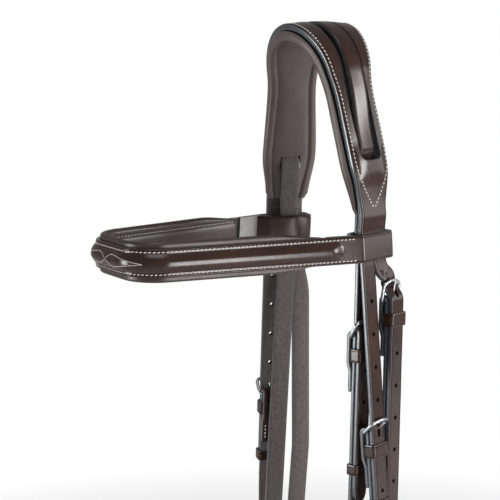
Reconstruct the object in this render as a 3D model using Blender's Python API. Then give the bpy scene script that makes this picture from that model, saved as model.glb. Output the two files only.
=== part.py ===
"""Hunter bridle: padded crown, raised browband, two cheekpieces, throatlatch and raised noseband.

Metres, +Z up. The horse faces -Y and its near (left) side is +X. The origin is the middle of the
crown lining's underside, where the bridle rests on the poll.
"""

import math

import bmesh
import bpy
from mathutils import Matrix, Vector

# Leather and clearances
GAP = 0.0003
STRAP_WIDTH = 0.0127
STRAP_THICK = 0.0028
BILLET_THICK = 0.0031
EDGE_BEVEL = 0.0006
TIP_LENGTH = 0.010
HINGE_GAP = 0.0006
HINGE_ROUND = 0.0042
OVERRUN = 0.004

# Crown
POLL_RADIUS = 0.0260
CROWN_LEAN = math.radians(12.5)
FALL_LEAN = math.radians(5.5)
TOE = math.radians(16.0)
TOE_REACH = 0.140
FALL_BACK = 0.0081
FALL_REACH = 0.130
BEND_RADIUS = 0.110
BROW_REACH = 0.1470
TAB_RISE = 0.0205
SLOT_RISE = 0.0525
WAIST_REACH = 0.051
FORK_DROP = 0.0115
CROWN_THICK = 0.0040
CROWN_STRAP_WIDTH = 0.0254
CROWN_TOP_WIDTH = 0.046
CROWN_WAIST_WIDTH = 0.0302
CROWN_LOW_WIDTH = 0.0332
CROWN_RISE = 0.0018
CROWN_SEAT = 0.0030
PAD_MARGIN = 0.0025
PAD_THICK = 0.0058
PAD_END_THICK = 0.0026
PAD_TAPER = 0.026
LINING_THICK = 0.0012
LINING_RIM = 0.0014
FOAM_INSET = 0.0020
FOAM_PLAY = 0.0005
WINDOW_MARGIN = 0.0029
WINDOW_SHORT = 0.0010
SLOT_CLEAR = 0.0008
DIVE_LENGTH = 0.0170
DIVE_RADIUS = 0.0090

# Browband
BROW_LENGTH = 0.414
BROW_THICK = 0.0024
BROW_HEIGHT = 0.0175
BROW_SIDE_TURN = math.radians(10.0)
BROW_CORNER = 0.024
LOOP_PLAY = 0.0008
LOOP_BACK_PLAY = 0.0026
LOOP_OUT_PLAY = 0.0005
LOOP_IN_PLAY = 0.0010
LOOP_CORNER = 0.0022
LAP_LENGTH = 0.016
LAP_START = 0.008
BROW_PAD_THICK = 0.0046
BROW_PAD_HEIGHT = 0.0245
BROW_PAD_START = 0.0175
BROW_PAD_TAPER = 0.035
RAISE_HEIGHT = 0.0120
RAISE_THICK = 0.0028
RAISE_START = 0.0135
RAISE_ROUND = 0.0050

# Buckles
BAR_RADIUS = 0.0008
WIRE_RADIUS = 0.00115
TONGUE_RADIUS = 0.00085
ARM_LENGTH = 0.0125
ARM_PLAY = 0.00075
BUCKLE_CORNER = 0.0035
BUCKLE_BOW = 0.0012
TONGUE_OVERHANG = 0.0014
TONGUE_LIFT = 0.0003
FRAME_SWING = math.radians(5.0)
TONGUE_SWING = math.radians(5.0)
KNEE = 0.0030
KNEE_RADIUS = 0.0070
PUNCH_HALF_WIDTH = 0.0013
PUNCH_HALF_LENGTH = 0.0044
TURN_BACK = 0.036
TURN_CLOSE = 0.020
HOLE_RADIUS = 0.0011
HOLE_PITCH = 0.0214

# Keepers
KEEPER_THICK = 0.0014
KEEPER_HEIGHT = 0.0090
KEEPER_DROP = 0.0070
KEEPER_CORNER = 0.0016
RUNNER_HEIGHT = 0.0070
RUNNER_DROP = 0.0440

# Cheekpieces
CHEEK_BACK = math.radians(1.5)
CHEEK_OUT = 0.0006
CHEEK_BAR_DROP = 0.1085
CHEEK_TILT = math.radians(50.0)
CHEEK_TAIL = 0.0560
CHEEK_UNBEND = math.radians(5.0)
CHEEK_BEND_DROP = 0.066
CHEEK_BEND_RADIUS = 0.090
CHEEK_RUN = 0.157
BIT_LOOP_RADIUS = 0.0050
BIT_SEAT = 0.0030
BIT_HEEL = 0.0030
BIT_RETURN = 0.022
BIT_TAIL = 0.062
BIT_KEEPER_RISE = 0.026
BIT_KEEPER_HEIGHT = 0.0080
STUD_RISE = 0.046
STUD_RADIUS = 0.0013
STUD_SINK = 0.0013
STUD_PLATE_LENGTH = 0.0090
STUD_PLATE_WIDTH = 0.0052
STUD_PLATE_THICK = 0.0011

# Throatlatch
THROAT_BEND = 0.0040
THROAT_TOP_DROP = 0.0042
THROAT_FAR_TOP_DROP = 0.0012
THROAT_BACK = 0.0140
THROAT_BAR_DROP = 0.0370
THROAT_UPRIGHT = math.radians(5.0)
THROAT_TILT = math.radians(8.0)
THROAT_TAIL = 0.164
THROAT_RUNNER_DROP = 0.138
THROAT_TURN = 0.0165
THROAT_BOTTOM = 0.448
THROAT_CORNER = 0.052
THROAT_FAR_BACK_HIGH = 0.0155
THROAT_FAR_DROP_HIGH = 0.034
THROAT_FAR_BACK_LOW = 0.0200
THROAT_FAR_DROP_LOW = 0.150
THROAT_NEAR_DROP_LOW = 0.173
THROAT_SPREAD = 0.0675
THROAT_LOW_BACK = 0.0236

# Noseband
NOSE_CLEAR = 0.0018
NOSE_NEAR_BACK = -0.0035
NOSE_FAR_BACK = 0.0020
NOSE_BAR_DROP = 0.0470
NOSE_TILT = math.radians(29.0)
NOSE_TAIL = 0.110
NOSE_RUNNER_DROP = 0.084
NOSE_DROP = 0.388
NOSE_STRAP_X = 0.0475
NOSE_STRAP_Y = -0.0014
NOSE_BAND_HEIGHT = 0.019
NOSE_BAND_THICK = 0.0028
NOSE_PAD_HEIGHT = 0.025
NOSE_PAD_THICK = 0.0046
NOSE_RAISE_HEIGHT = 0.0130
NOSE_RAISE_THICK = 0.0030
NOSE_FRONT = 0.100
NOSE_CORNER = 0.042
NOSE_PAD_BACK = -0.016
NOSE_RAISE_BACK = -0.020
NOSE_TAPER_BACK = 0.006
NOSE_TAPER = 0.014
NOSE_FAR_END = 0.046
CHIN_BAR_BACK = 0.090
CHIN_TILT = math.radians(20.0)
CHIN_TAIL = 0.054
CHIN_BACK = 0.140
CHIN_CORNER = 0.036
CHIN_LAP = 0.012

# Mesh steps
CORNER_STEPS = 4
RING_CORNER_STEPS = 3
WIRE_SIDES = 6
BAND_STEP = 0.012
CROWN_STEP = 0.0060
CROWN_FINE = 0.042

NEAR, FAR = 1, -1
SIDE_NAMES = {NEAR: "near", FAR: "far"}
MIRROR = Matrix.Diagonal((-1.0, 1.0, 1.0, 1.0))
UP = Vector((0, 0, 1))
BACK = Vector((0, 1, 0))

HALF_WIDTH = STRAP_WIDTH / 2
FOLD_RADIUS = BAR_RADIUS + GAP
STRAP_OUT = FOLD_RADIUS + STRAP_THICK / 2
BILLET_OUT = FOLD_RADIUS + STRAP_THICK + GAP + BILLET_THICK / 2
ARM_BACK = HALF_WIDTH + ARM_PLAY + WIRE_RADIUS
TURN_BACK_OUT = FOLD_RADIUS - GAP - STRAP_THICK / 2


def smooth(share):
    share = min(max(share, 0.0), 1.0)
    return share * share * (3 - 2 * share)


def blend(a, b, share):
    return a + (b - a) * share


# Materials


def material(name, colour, roughness, metallic=0.0):
    made = bpy.data.materials.new(name)
    made.use_nodes = True
    shader = made.node_tree.nodes["Principled BSDF"]
    shader.inputs["Base Color"].default_value = (*colour, 1.0)
    shader.inputs["Roughness"].default_value = roughness
    shader.inputs["Metallic"].default_value = metallic
    return made


# Mesh building


class Shape:
    """Points and faces that become one closed mesh."""

    def __init__(self):
        self.points = []
        self.faces = []

    def loft(self, rings, closed=False):
        """Skin rings of equally many points; the ends are capped unless the loft closes on itself."""
        start = len(self.points)
        count = len(rings[0])
        for ring in rings:
            self.points += [Vector(point) for point in ring]
        pairs = len(rings) if closed else len(rings) - 1
        for i in range(pairs):
            a = start + i * count
            b = start + (i + 1) % len(rings) * count
            for j in range(count):
                k = (j + 1) % count
                self.faces.append((a + j, a + k, b + k, b + j))
        if not closed:
            self.faces.append(tuple(range(start + count - 1, start - 1, -1)))
            last = start + (len(rings) - 1) * count
            self.faces.append(tuple(range(last, last + count)))
        return self

    def mesh(self, name):
        made = bpy.data.meshes.new(name)
        made.from_pydata([tuple(p) for p in self.points], [], self.faces)
        work = bmesh.new()
        work.from_mesh(made)
        bmesh.ops.recalc_face_normals(work, faces=work.faces)
        work.to_mesh(made)
        work.free()
        return made


def carved(mesh, cutters):
    """The mesh with each cutter mesh taken out of it."""
    scene = bpy.context.scene
    base = bpy.data.objects.new(mesh.name, mesh)
    scene.collection.objects.link(base)
    helpers = []
    for cutter in cutters:
        helper = bpy.data.objects.new("cutter", cutter)
        scene.collection.objects.link(helper)
        helpers.append(helper)
        cut = base.modifiers.new("cut", "BOOLEAN")
        cut.operation = "DIFFERENCE"
        cut.solver = "EXACT"
        cut.object = helper
    bpy.context.view_layer.update()
    graph = bpy.context.evaluated_depsgraph_get()
    result = bpy.data.meshes.new_from_object(base.evaluated_get(graph))
    result.name = mesh.name
    for helper in [base, *helpers]:
        bpy.data.objects.remove(helper)
    return result


def block(frame, low, high):
    """A box cutter between two corners of a local frame."""
    rings = []
    for z in (low[2], high[2]):
        corners = ((low[0], low[1]), (high[0], low[1]), (high[0], high[1]), (low[0], high[1]))
        rings.append([frame @ Vector((x, y, z)) for x, y in corners])
    return Shape().loft(rings).mesh("block")


def rod(start, end, radius, sides):
    """A straight round bar between two points."""
    axis = (end - start).normalized()
    side = axis.orthogonal().normalized()
    other = axis.cross(side)
    rings = []
    for centre in (start, end):
        turns = [math.tau * i / sides for i in range(sides)]
        rings.append([centre + (side * math.cos(t) + other * math.sin(t)) * radius for t in turns])
    return Shape().loft(rings)


# Routes


def rounded(corners, steps=CORNER_STEPS):
    """A route of (point, radius) corners with each inner corner turned into an arc."""
    points = [corners[0][0].copy()]
    for i in range(1, len(corners) - 1):
        corner, radius = corners[i]
        before = (corners[i - 1][0] - corner).normalized()
        after = (corners[i + 1][0] - corner).normalized()
        turn = math.pi - before.angle(after)
        if turn < math.radians(0.5):
            points.append(corner.copy())
            continue
        reach = radius * math.tan(turn / 2)
        centre = corner + (before + after).normalized() * (radius / math.cos(turn / 2))
        arm = corner + before * reach - centre
        axis = arm.cross(corner + after * reach - centre).normalized()
        count = max(1, math.ceil(turn / (math.pi / 2) * steps))
        arc = [centre + Matrix.Rotation(turn * k / count, 3, axis) @ arm for k in range(count + 1)]
        points += [point for point in arc if (point - points[-1]).length > GAP]
    points.append(corners[-1][0].copy())
    return points


def dense(points, step):
    """The route with extra points, so that none are further apart than a step."""
    result = [points[0]]
    for a, b in zip(points, points[1:]):
        count = max(1, math.ceil((b - a).length / step))
        result += [a.lerp(b, k / count) for k in range(1, count + 1)]
    return result


def with_points_at(points, distances):
    """The route with points put in at these distances from its start."""
    result = [points[0]]
    run = 0.0
    left = sorted(distances)
    for a, b in zip(points, points[1:]):
        length = (b - a).length
        while left and left[0] < run + length:
            share = (left.pop(0) - run) / length
            if 0.02 < share < 0.98:
                result.append(a.lerp(b, share))
        result.append(b)
        run += length
    return result


def route_length(points):
    return sum((b - a).length for a, b in zip(points, points[1:]))


END_SHARES = {
    "point": ((0.0, 0.22), (0.12, 0.55), (0.4, 0.86), (1.0, 1.0)),
    "round": ((0.0, 0.2), (0.1, 0.44), (0.35, 0.76), (1.0, 1.0)),
    "square": ((0.0, 1.0),),
}


def end_share(kind, share):
    """How wide a strap is at this share of its shaped end."""
    table = END_SHARES[kind]
    for (s0, w0), (s1, w1) in zip(table, table[1:]):
        if share <= s1:
            return blend(w0, w1, (share - s0) / (s1 - s0))
    return 1.0


def profile(centre, back, out, half_width, half_thick, bevel):
    """A strap's cross-section: a flat bar with bevelled edges."""
    bevel = min(bevel, half_thick / 2, half_width / 2)
    spots = (
        (half_width, bevel - half_thick),
        (half_width, half_thick - bevel),
        (half_width - bevel, half_thick),
        (bevel - half_width, half_thick),
        (-half_width, half_thick - bevel),
        (-half_width, bevel - half_thick),
        (bevel - half_width, -half_thick),
        (half_width - bevel, -half_thick),
    )
    return [centre + back * x + out * y for x, y in spots]


SQUARE_ENDS = ("square", "square")
TIPS = (TIP_LENGTH, TIP_LENGTH)
BILLET_ENDS = ("round", "point")
BILLET_TIPS = (HINGE_ROUND, TIP_LENGTH)


def strap_shape(points, back_at, width, thick, ends=SQUARE_ENDS, round_by=TIPS):
    """A flat strap along a route; back_at gives the direction of its width at a point."""
    total = route_length(points)
    marks = [s * round_by[0] for s, _ in END_SHARES[ends[0]][1:]]
    marks += [total - s * round_by[1] for s, _ in END_SHARES[ends[1]][1:]]
    points = with_points_at(points, marks)
    rings = []
    run = 0.0
    for i, point in enumerate(points):
        before = points[max(i - 1, 0)]
        after = points[min(i + 1, len(points) - 1)]
        if i:
            run += (point - before).length
        way = after - before
        if 0 < i < len(points) - 1:
            way = (after - point).normalized() + (point - before).normalized()
        way.normalize()
        hint = back_at(point)
        back = (hint - way * hint.dot(way)).normalized()
        out = back.cross(way)
        share = end_share(ends[0], run / round_by[0]) * end_share(ends[1], (total - run) / round_by[1])
        here = width(point) if callable(width) else width
        rings.append(profile(point, back, out, here / 2 * share, thick / 2, EDGE_BEVEL))
    return Shape().loft(rings)


# Frames of reference


def arch_frame(reach):
    """Place and directions (down, out, back) on the crown's inner line, this far from the poll."""
    side = NEAR if reach >= 0 else FAR
    run = abs(reach)
    arc_turn = math.pi / 2 - CROWN_LEAN
    arc_end = POLL_RADIUS * arc_turn
    bend_turn = CROWN_LEAN - FALL_LEAN
    bend_end = BROW_REACH - BROW_HEIGHT / 2
    bend_start = bend_end - BEND_RADIUS * bend_turn
    turn = min(run / POLL_RADIUS, arc_turn)
    x = POLL_RADIUS * math.sin(turn)
    z = POLL_RADIUS * (math.cos(turn) - 1)
    straight = min(max(run - arc_end, 0), bend_start - arc_end)
    x += straight * math.cos(turn)
    z -= straight * math.sin(turn)
    if run > bend_start:
        more = min((run - bend_start) / BEND_RADIUS, bend_turn)
        x += BEND_RADIUS * (math.sin(turn + more) - math.sin(turn))
        z += BEND_RADIUS * (math.cos(turn + more) - math.cos(turn))
        turn += more
        rest = max(run - bend_end, 0)
        x += rest * math.cos(turn)
        z -= rest * math.sin(turn)
    share = min(run / FALL_REACH, 1)
    slope = FALL_BACK * 6 * share * (1 - share) / FALL_REACH
    down = Vector((math.cos(turn), slope, -math.sin(turn))).normalized()
    normal = Vector((math.sin(turn), 0, math.cos(turn)))
    square = normal.cross(down)
    toe = TOE * smooth(run / TOE_REACH)
    out = normal * math.cos(toe) + square * math.sin(toe)
    back = square * math.cos(toe) - normal * math.sin(toe)
    place = Vector((x, FALL_BACK * smooth(share), z))
    if side == FAR:
        place, down, out, back = (MIRROR.to_3x3() @ v for v in (place, down, out, back))
    return place, down, out, back


def frame_of(place, out, back, up):
    """A local frame whose x, y and z run out, back and up."""
    matrix = Matrix((out, back, up)).transposed().to_4x4()
    matrix.translation = place
    return matrix


def shifted(frame, out=0.0, back=0.0, up=0.0):
    return frame @ Matrix.Translation((out, back, up))


def side_frame(side, drop=0.0):
    """The frame on the crown strap's middle plane at the browband, or this far below it."""
    place, down, out, back = arch_frame(side * (BROW_REACH + drop))
    return frame_of(place + out * CROWN_SEAT, out, back, -down)


def fork_frame(side):
    return side_frame(side, FORK_DROP + HINGE_GAP)


# Objects and bodies

bodies = {}


def body(name, pivot, parent=None):
    """An empty on a joint's axis, which carries the pieces that move with it."""
    carrier = bpy.data.objects.new(name, None)
    carrier.empty_display_size = STRAP_WIDTH
    bpy.context.scene.collection.objects.link(carrier)
    home = bodies[parent][1] if parent else Vector((0, 0, 0))
    carrier.parent = bodies[parent][0] if parent else None
    carrier.location = pivot - home
    bodies[name] = (carrier, pivot.copy())
    return name


def piece(name, shape, carrier, finish, smooth_faces=False):
    """One named solid on a body."""
    mesh = shape.mesh(name) if isinstance(shape, Shape) else shape
    mesh.name = name
    empty, pivot = bodies[carrier]
    mesh.transform(Matrix.Translation(-pivot))
    mesh.materials.clear()
    mesh.materials.append(finish)
    if smooth_faces:
        mesh.shade_smooth()
        mesh.set_sharp_from_angle(angle=math.radians(40))
    made = bpy.data.objects.new(name, mesh)
    bpy.context.scene.collection.objects.link(made)
    made.parent = empty
    return made


# Buckles and keepers


def circle(centre, side, other, radius):
    """One ring of a wire."""
    turns = [math.tau * (k + 0.5) / WIRE_SIDES for k in range(WIRE_SIDES)]
    return [centre + (side * math.cos(t) + other * math.sin(t)) * radius for t in turns]


def buckle_frame(frame, tilt):
    """A wire buckle that turns on its thin lower bar; its bowed top bar leans out by the tilt."""
    lean = frame @ Matrix.Rotation(tilt, 4, "Y")
    corner = BUCKLE_CORNER
    top = ARM_LENGTH
    spots = [(-ARM_BACK + corner / 2, 0.0), (ARM_BACK - corner / 2, 0.0), (ARM_BACK, corner / 2)]
    spots += [(ARM_BACK, top - corner)]
    for k in range(1, 3):
        angle = math.pi / 2 * k / 3
        spots.append((ARM_BACK - corner * (1 - math.cos(angle)), top - corner * (1 - math.sin(angle))))
    across = ARM_BACK - corner
    for share in (1.0, 0.5, 0.0):
        spots.append((across * share, top + BUCKLE_BOW * (1 - share * share)))
    spots += [(-y, z) for y, z in reversed(spots[3:-1])]
    spots.append((-ARM_BACK, corner / 2))
    rings = []
    count = len(spots)
    for i, (y, z) in enumerate(spots):
        before = Vector((0, *spots[i - 1]))
        after = Vector((0, *spots[(i + 1) % count]))
        way = (after - before).normalized()
        side = Vector((1, 0, 0))
        other = way.cross(side)
        radius = BAR_RADIUS if z == 0 else WIRE_RADIUS
        centre = Vector((0, y, z))
        rings.append([lean @ spot for spot in circle(centre, side, other, radius)])
    return Shape().loft(rings, closed=True)


def tongue_line():
    """The tongue's middle line in the buckle's own plane: round the bar, then up over the top bar."""
    eye = BAR_RADIUS + GAP + TONGUE_RADIUS
    points = []
    for k in range(8):
        angle = math.radians(95 + 265 * k / 7)
        points.append(Vector((eye * math.cos(angle), 0, eye * math.sin(angle))))
    rest = WIRE_RADIUS + TONGUE_LIFT + TONGUE_RADIUS
    points.append(Vector((rest, 0, ARM_LENGTH)))
    points.append(Vector((rest, 0, ARM_LENGTH + TONGUE_OVERHANG)))
    return points


def buckle_tongue(frame, tilt):
    lean = frame @ Matrix.Rotation(tilt, 4, "Y")
    points = tongue_line()
    rings = []
    for i, point in enumerate(points):
        way = (points[min(i + 1, len(points) - 1)] - points[max(i - 1, 0)]).normalized()
        side = BACK
        other = way.cross(side)
        rings.append([lean @ spot for spot in circle(point, side, other, TONGUE_RADIUS)])
    return Shape().loft(rings)


def top_bar_spot(tilt, bend=KNEE_RADIUS):
    """Where the billet's middle runs, out and up from the bar, as it passes under the top bar."""
    under = WIRE_RADIUS + GAP + BILLET_THICK / 2
    top = Vector((ARM_LENGTH * math.sin(tilt), 0, ARM_LENGTH * math.cos(tilt)))
    slope = 0.0
    for _ in range(20):
        away = under + bend * (1 / math.cos(slope / 2) - 1)
        spot = top - Vector((math.cos(slope / 2), 0, math.sin(slope / 2))) * away
        slope = math.atan2(BILLET_OUT - spot.x, spot.z - KNEE)
    return spot.x, spot.z


def billet_corners(tilt, upper, tail, bend=KNEE_RADIUS):
    """A billet's route in a buckle's frame, from its upper points down to its tail."""
    out, up = top_bar_spot(tilt, bend)
    corners = list(upper)
    corners.append((Vector((out, 0, up)), bend))
    corners.append((Vector((BILLET_OUT, 0, KNEE)), KNEE_RADIUS))
    corners.append((Vector((BILLET_OUT, 0, -tail)), 0))
    return corners


def punch_cutter(frame, tilt):
    """The long hole that the tongue passes through, square to the billet where they cross."""
    out, up = top_bar_spot(tilt)
    a = Vector((out, 0, up))
    b = Vector((BILLET_OUT, 0, KNEE))
    middle = tilt + (FRAME_SWING + TONGUE_SWING) / 2
    turn = Matrix.Rotation(middle, 4, "Y")
    pin = tongue_line()
    start, end = turn @ pin[-3], turn @ pin[-2]
    way = b - a
    pin_way = end - start
    cross = pin_way.x * way.z - pin_way.z * way.x
    share = ((a.x - start.x) * way.z - (a.z - start.z) * way.x) / cross
    spot = start + pin_way * share
    if spot.z < KNEE:
        spot = start + pin_way * ((BILLET_OUT - start.x) / pin_way.x)
        way = Vector((0, 0, -1))
    angle = math.atan2(-way.x, -way.z)
    place = frame @ Matrix.Translation(spot) @ Matrix.Rotation(angle, 4, "Y")
    corner = Vector((BILLET_THICK * 1.5, PUNCH_HALF_WIDTH, PUNCH_HALF_LENGTH))
    return block(place, -corner, corner)


def fold_corners(down_to):
    """The strap that holds the buckle: from its turned-back end, up round the bar and down again."""
    back_out = TURN_BACK_OUT
    turn = -STRAP_OUT
    return [
        (Vector((back_out, 0, -TURN_BACK)), 0),
        (Vector((back_out, 0, -TURN_CLOSE - STRAP_THICK)), KNEE_RADIUS),
        (Vector((turn, 0, -TURN_CLOSE + STRAP_THICK)), KNEE_RADIUS),
        (Vector((turn, 0, STRAP_OUT)), STRAP_OUT),
        (Vector((STRAP_OUT, 0, STRAP_OUT)), STRAP_OUT),
        (Vector((STRAP_OUT, 0, -down_to)), CHEEK_BEND_RADIUS),
    ]


def fold_cutter(frame):
    """The slot in the fold that the tongue turns in."""
    eye = BAR_RADIUS + GAP + 2 * TONGUE_RADIUS + GAP
    deep = FOLD_RADIUS + STRAP_THICK + OVERRUN
    half = TONGUE_RADIUS + GAP
    return block(frame, (-deep, -half, -eye), (deep, half, deep))


def hole_cutters(frame, out, ups):
    """Round punched holes through a billet that runs up and down at this distance out."""
    reach = Vector((BILLET_THICK, 0, 0))
    cutters = []
    for up in ups:
        centre = Vector((out, 0, up))
        hole = rod(frame @ (centre - reach), frame @ (centre + reach), HOLE_RADIUS, 8)
        cutters.append(hole.mesh("hole"))
    return cutters


def keeper(frame, inside, outside, top, height):
    """A leather loop round the straps, from one inner face to the other."""
    half = HALF_WIDTH + GAP + KEEPER_THICK / 2
    low = inside - KEEPER_THICK / 2
    high = outside + KEEPER_THICK / 2
    corner = KEEPER_CORNER
    line = []
    centres = ((high - corner, half - corner, 0), (high - corner, corner - half, 1))
    centres += ((low + corner, corner - half, 2), (low + corner, half - corner, 3))
    for out, back, quarter in centres:
        for k in range(RING_CORNER_STEPS):
            turn = math.pi / 2 * (1 - quarter - k / (RING_CORNER_STEPS - 1))
            way = Vector((math.cos(turn), math.sin(turn), 0))
            line.append((Vector((out, back, 0)) + way * corner, way))
    rings = []
    for point, way in line:
        ring = []
        for offset, up in ((1, top), (1, top - height), (-1, top - height), (-1, top)):
            ring.append(frame @ (point + way * offset * KEEPER_THICK / 2 + UP * up))
        rings.append(ring)
    return Shape().loft(rings, closed=True)


KEEPER_INSIDE = FOLD_RADIUS - GAP
KEEPER_OUTSIDE = BILLET_OUT + BILLET_THICK / 2 + GAP


def buckle_set(name, frame, tilt, carrier, runner_drop, steel, leather):
    """Buckle, tongue, fixed keeper and runner of one buckled strap, each moving part on its own body."""
    pivot = frame.translation
    body(f"{name}_buckle_body", pivot, carrier)
    piece(f"{name}_buckle", buckle_frame(frame, tilt), f"{name}_buckle_body", steel, True)
    body(f"{name}_tongue_body", pivot, f"{name}_buckle_body")
    piece(f"{name}_buckle_tongue", buckle_tongue(frame, tilt), f"{name}_tongue_body", steel, True)
    fixed = keeper(frame, KEEPER_INSIDE, KEEPER_OUTSIDE, -KEEPER_DROP, KEEPER_HEIGHT)
    piece(f"{name}_keeper", fixed, carrier, leather, True)
    body(f"{name}_runner_body", frame @ Vector((BILLET_OUT, 0, -runner_drop)), carrier)
    runner = keeper(frame, KEEPER_INSIDE, KEEPER_OUTSIDE, -runner_drop, RUNNER_HEIGHT)
    piece(f"{name}_runner", runner, f"{name}_runner_body", leather, True)


# Crown


def crown_half_width(run):
    """Half the crown leather's width: wide over the poll, waisted, wide at the slots, then the strap."""
    tab = BROW_REACH - TAB_RISE
    slot = BROW_REACH - SLOT_RISE
    knots = (
        (0.0, CROWN_TOP_WIDTH),
        (WAIST_REACH, CROWN_WAIST_WIDTH),
        (slot, CROWN_LOW_WIDTH),
        (tab, CROWN_STRAP_WIDTH),
    )
    for (r0, w0), (r1, w1) in zip(knots, knots[1:]):
        if run <= r1:
            return blend(w0, w1, smooth((run - r0) / (r1 - r0))) / 2
    return CROWN_STRAP_WIDTH / 2


def pad_thick(run):
    tab = BROW_REACH - TAB_RISE
    return blend(PAD_THICK, PAD_END_THICK, smooth((run - tab + PAD_TAPER) / PAD_TAPER))


def crown_rise(run, across):
    """How far the pad's face stands above its edge, across being 0 in the middle and 1 at the edge."""
    tab = BROW_REACH - TAB_RISE
    slot = BROW_REACH - SLOT_RISE
    fade = 1 - smooth((run - slot) / (tab - slot))
    return CROWN_RISE * fade * (1 - across * across)


def crown_under(run, across):
    """The crown leather's underside, out from the inner line."""
    tab = BROW_REACH - TAB_RISE
    seat = CROWN_SEAT - CROWN_THICK / 2
    share = smooth((run - tab) / (TAB_RISE - BROW_HEIGHT / 2))
    return blend(pad_thick(run) + GAP + crown_rise(run, across), seat, share)


def crown_reaches(end):
    """Stations from one side's end to the other's, the same ones for every layer of the crown."""
    marks = [0.0]
    while marks[-1] < end - CROWN_STEP / 2:
        marks.append(marks[-1] + CROWN_STEP * (1 if marks[-1] < CROWN_FINE else 2))
    marks[-1] = end
    return [-mark for mark in reversed(marks[1:])] + marks


ACROSS_SHARES = (-1.0, -0.5, 0.0, 0.5, 1.0)


def headpiece_shape(end):
    rings = []
    for reach in crown_reaches(end):
        place, _, out, back = arch_frame(reach)
        run = abs(reach)
        half = crown_half_width(run)
        pad_half = half + PAD_MARGIN
        ring = []
        for lift, order in ((0.0, 1), (CROWN_THICK, -1)):
            for share in ACROSS_SHARES[::order]:
                height = crown_under(run, half * share / pad_half) + lift
                ring.append(place + back * half * share + out * height)
        rings.append(ring)
    return Shape().loft(rings)


def lining_shape(end):
    rings = []
    for reach in crown_reaches(end):
        place, _, out, back = arch_frame(reach)
        run = abs(reach)
        half = crown_half_width(run) + PAD_MARGIN
        thick = pad_thick(run)
        inner = half - LINING_RIM
        spots = [(-half, LINING_RIM)]
        spots += [(inner * share, 0.0) for share in ACROSS_SHARES]
        spots += [(half, LINING_RIM), (half, thick), (inner, thick)]
        spots += [(-inner * share, LINING_THICK) for share in ACROSS_SHARES]
        spots += [(-inner, thick), (-half, thick)]
        rings.append([place + back * x + out * y for x, y in spots])
    return Shape().loft(rings)


def foam_shape(end):
    rings = []
    for reach in crown_reaches(end):
        place, _, out, back = arch_frame(reach)
        run = abs(reach)
        pad_half = crown_half_width(run) + PAD_MARGIN
        half = pad_half - LINING_RIM - FOAM_PLAY
        ring = [place + back * half * s + out * (LINING_THICK + FOAM_PLAY) for s in ACROSS_SHARES]
        for share in reversed(ACROSS_SHARES):
            height = pad_thick(run) + crown_rise(run, half * share / pad_half)
            ring.append(place + back * half * share + out * height)
        rings.append(ring)
    return Shape().loft(rings)


def headstall_route():
    """The noseband strap over the crown as (reach, out, back) corners, from the far fork to the near."""
    slot = BROW_REACH - SLOT_RISE
    tab = BROW_REACH - TAB_RISE
    end = BROW_REACH + FORK_DROP
    over = PAD_THICK + CROWN_RISE + GAP + STRAP_THICK / 2
    beneath = -GAP - STRAP_THICK / 2
    seat = nose_seat()
    half_dive = DIVE_LENGTH / 2
    near = [
        (slot - half_dive, over, 0.0, DIVE_RADIUS),
        (slot + half_dive, beneath, 0.0, DIVE_RADIUS),
        (tab, beneath, NOSE_NEAR_BACK / 2, DIVE_RADIUS),
        (BROW_REACH - BROW_HEIGHT / 2, seat, NOSE_NEAR_BACK, DIVE_RADIUS),
        (end, seat, NOSE_NEAR_BACK, 0),
    ]
    far = [(-r, o, b / NOSE_NEAR_BACK * NOSE_FAR_BACK, radius) for r, o, b, radius in reversed(near)]
    return [(Vector((r, o, b)), radius) for r, o, b, radius in far + near]


def nose_seat():
    """The noseband strap's middle plane at the browband, out from the crown's inner line."""
    return CROWN_SEAT - CROWN_THICK / 2 - NOSE_CLEAR - STRAP_THICK / 2


def headstall_shape():
    corners = rounded(headstall_route())
    marks = crown_reaches(BROW_REACH)
    points = [corners[0]]
    for a, b in zip(corners, corners[1:]):
        between = [m for m in marks if a.x + GAP < m < b.x - GAP]
        points += [a.lerp(b, (m - a.x) / (b.x - a.x)) for m in between]
        points.append(b)
    rings = []
    for i, point in enumerate(points):
        reach, lift, shift = point
        place, down, out, back = arch_frame(reach)
        before = points[max(i - 1, 0)]
        after = points[min(i + 1, len(points) - 1)]
        slope = (after.y - before.y) / (after.x - before.x)
        way = down if reach >= 0 else -down
        normal = (out - way * slope).normalized()
        centre = place + out * lift + back * shift
        rings.append(profile(centre, back, normal, HALF_WIDTH, STRAP_THICK / 2, EDGE_BEVEL))
    return Shape().loft(rings)


def dive_cutter(side):
    """The slanting slot that lets the noseband strap through the pad on one side."""
    slot = BROW_REACH - SLOT_RISE
    over = PAD_THICK + CROWN_RISE + GAP + STRAP_THICK / 2
    beneath = -GAP - STRAP_THICK / 2
    place, down, out, back = arch_frame(side * slot)
    middle = place + out * (over + beneath) / 2
    way = (down * DIVE_LENGTH + out * (beneath - over)).normalized()
    normal = back.cross(way)
    frame = Matrix((normal, back, way)).transposed().to_4x4()
    frame.translation = middle
    thick = STRAP_THICK / 2 + SLOT_CLEAR + GAP
    wide = HALF_WIDTH + SLOT_CLEAR
    return block(frame, (-thick, -wide, -DIVE_LENGTH), (thick, wide, DIVE_LENGTH))


def window_cutter():
    """The long window in the crown leather over the noseband strap."""
    end = BROW_REACH - SLOT_RISE - WINDOW_SHORT
    wide = HALF_WIDTH + WINDOW_MARGIN
    tall = PAD_THICK + CROWN_THICK + OVERRUN
    rings = []
    for reach in crown_reaches(end):
        place, _, out, back = arch_frame(reach)
        spots = ((-wide, 0), (wide, 0), (wide, tall), (-wide, tall))
        rings.append([place + back * x + out * (y + GAP) for x, y in spots])
    return Shape().loft(rings).mesh("window")


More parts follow.
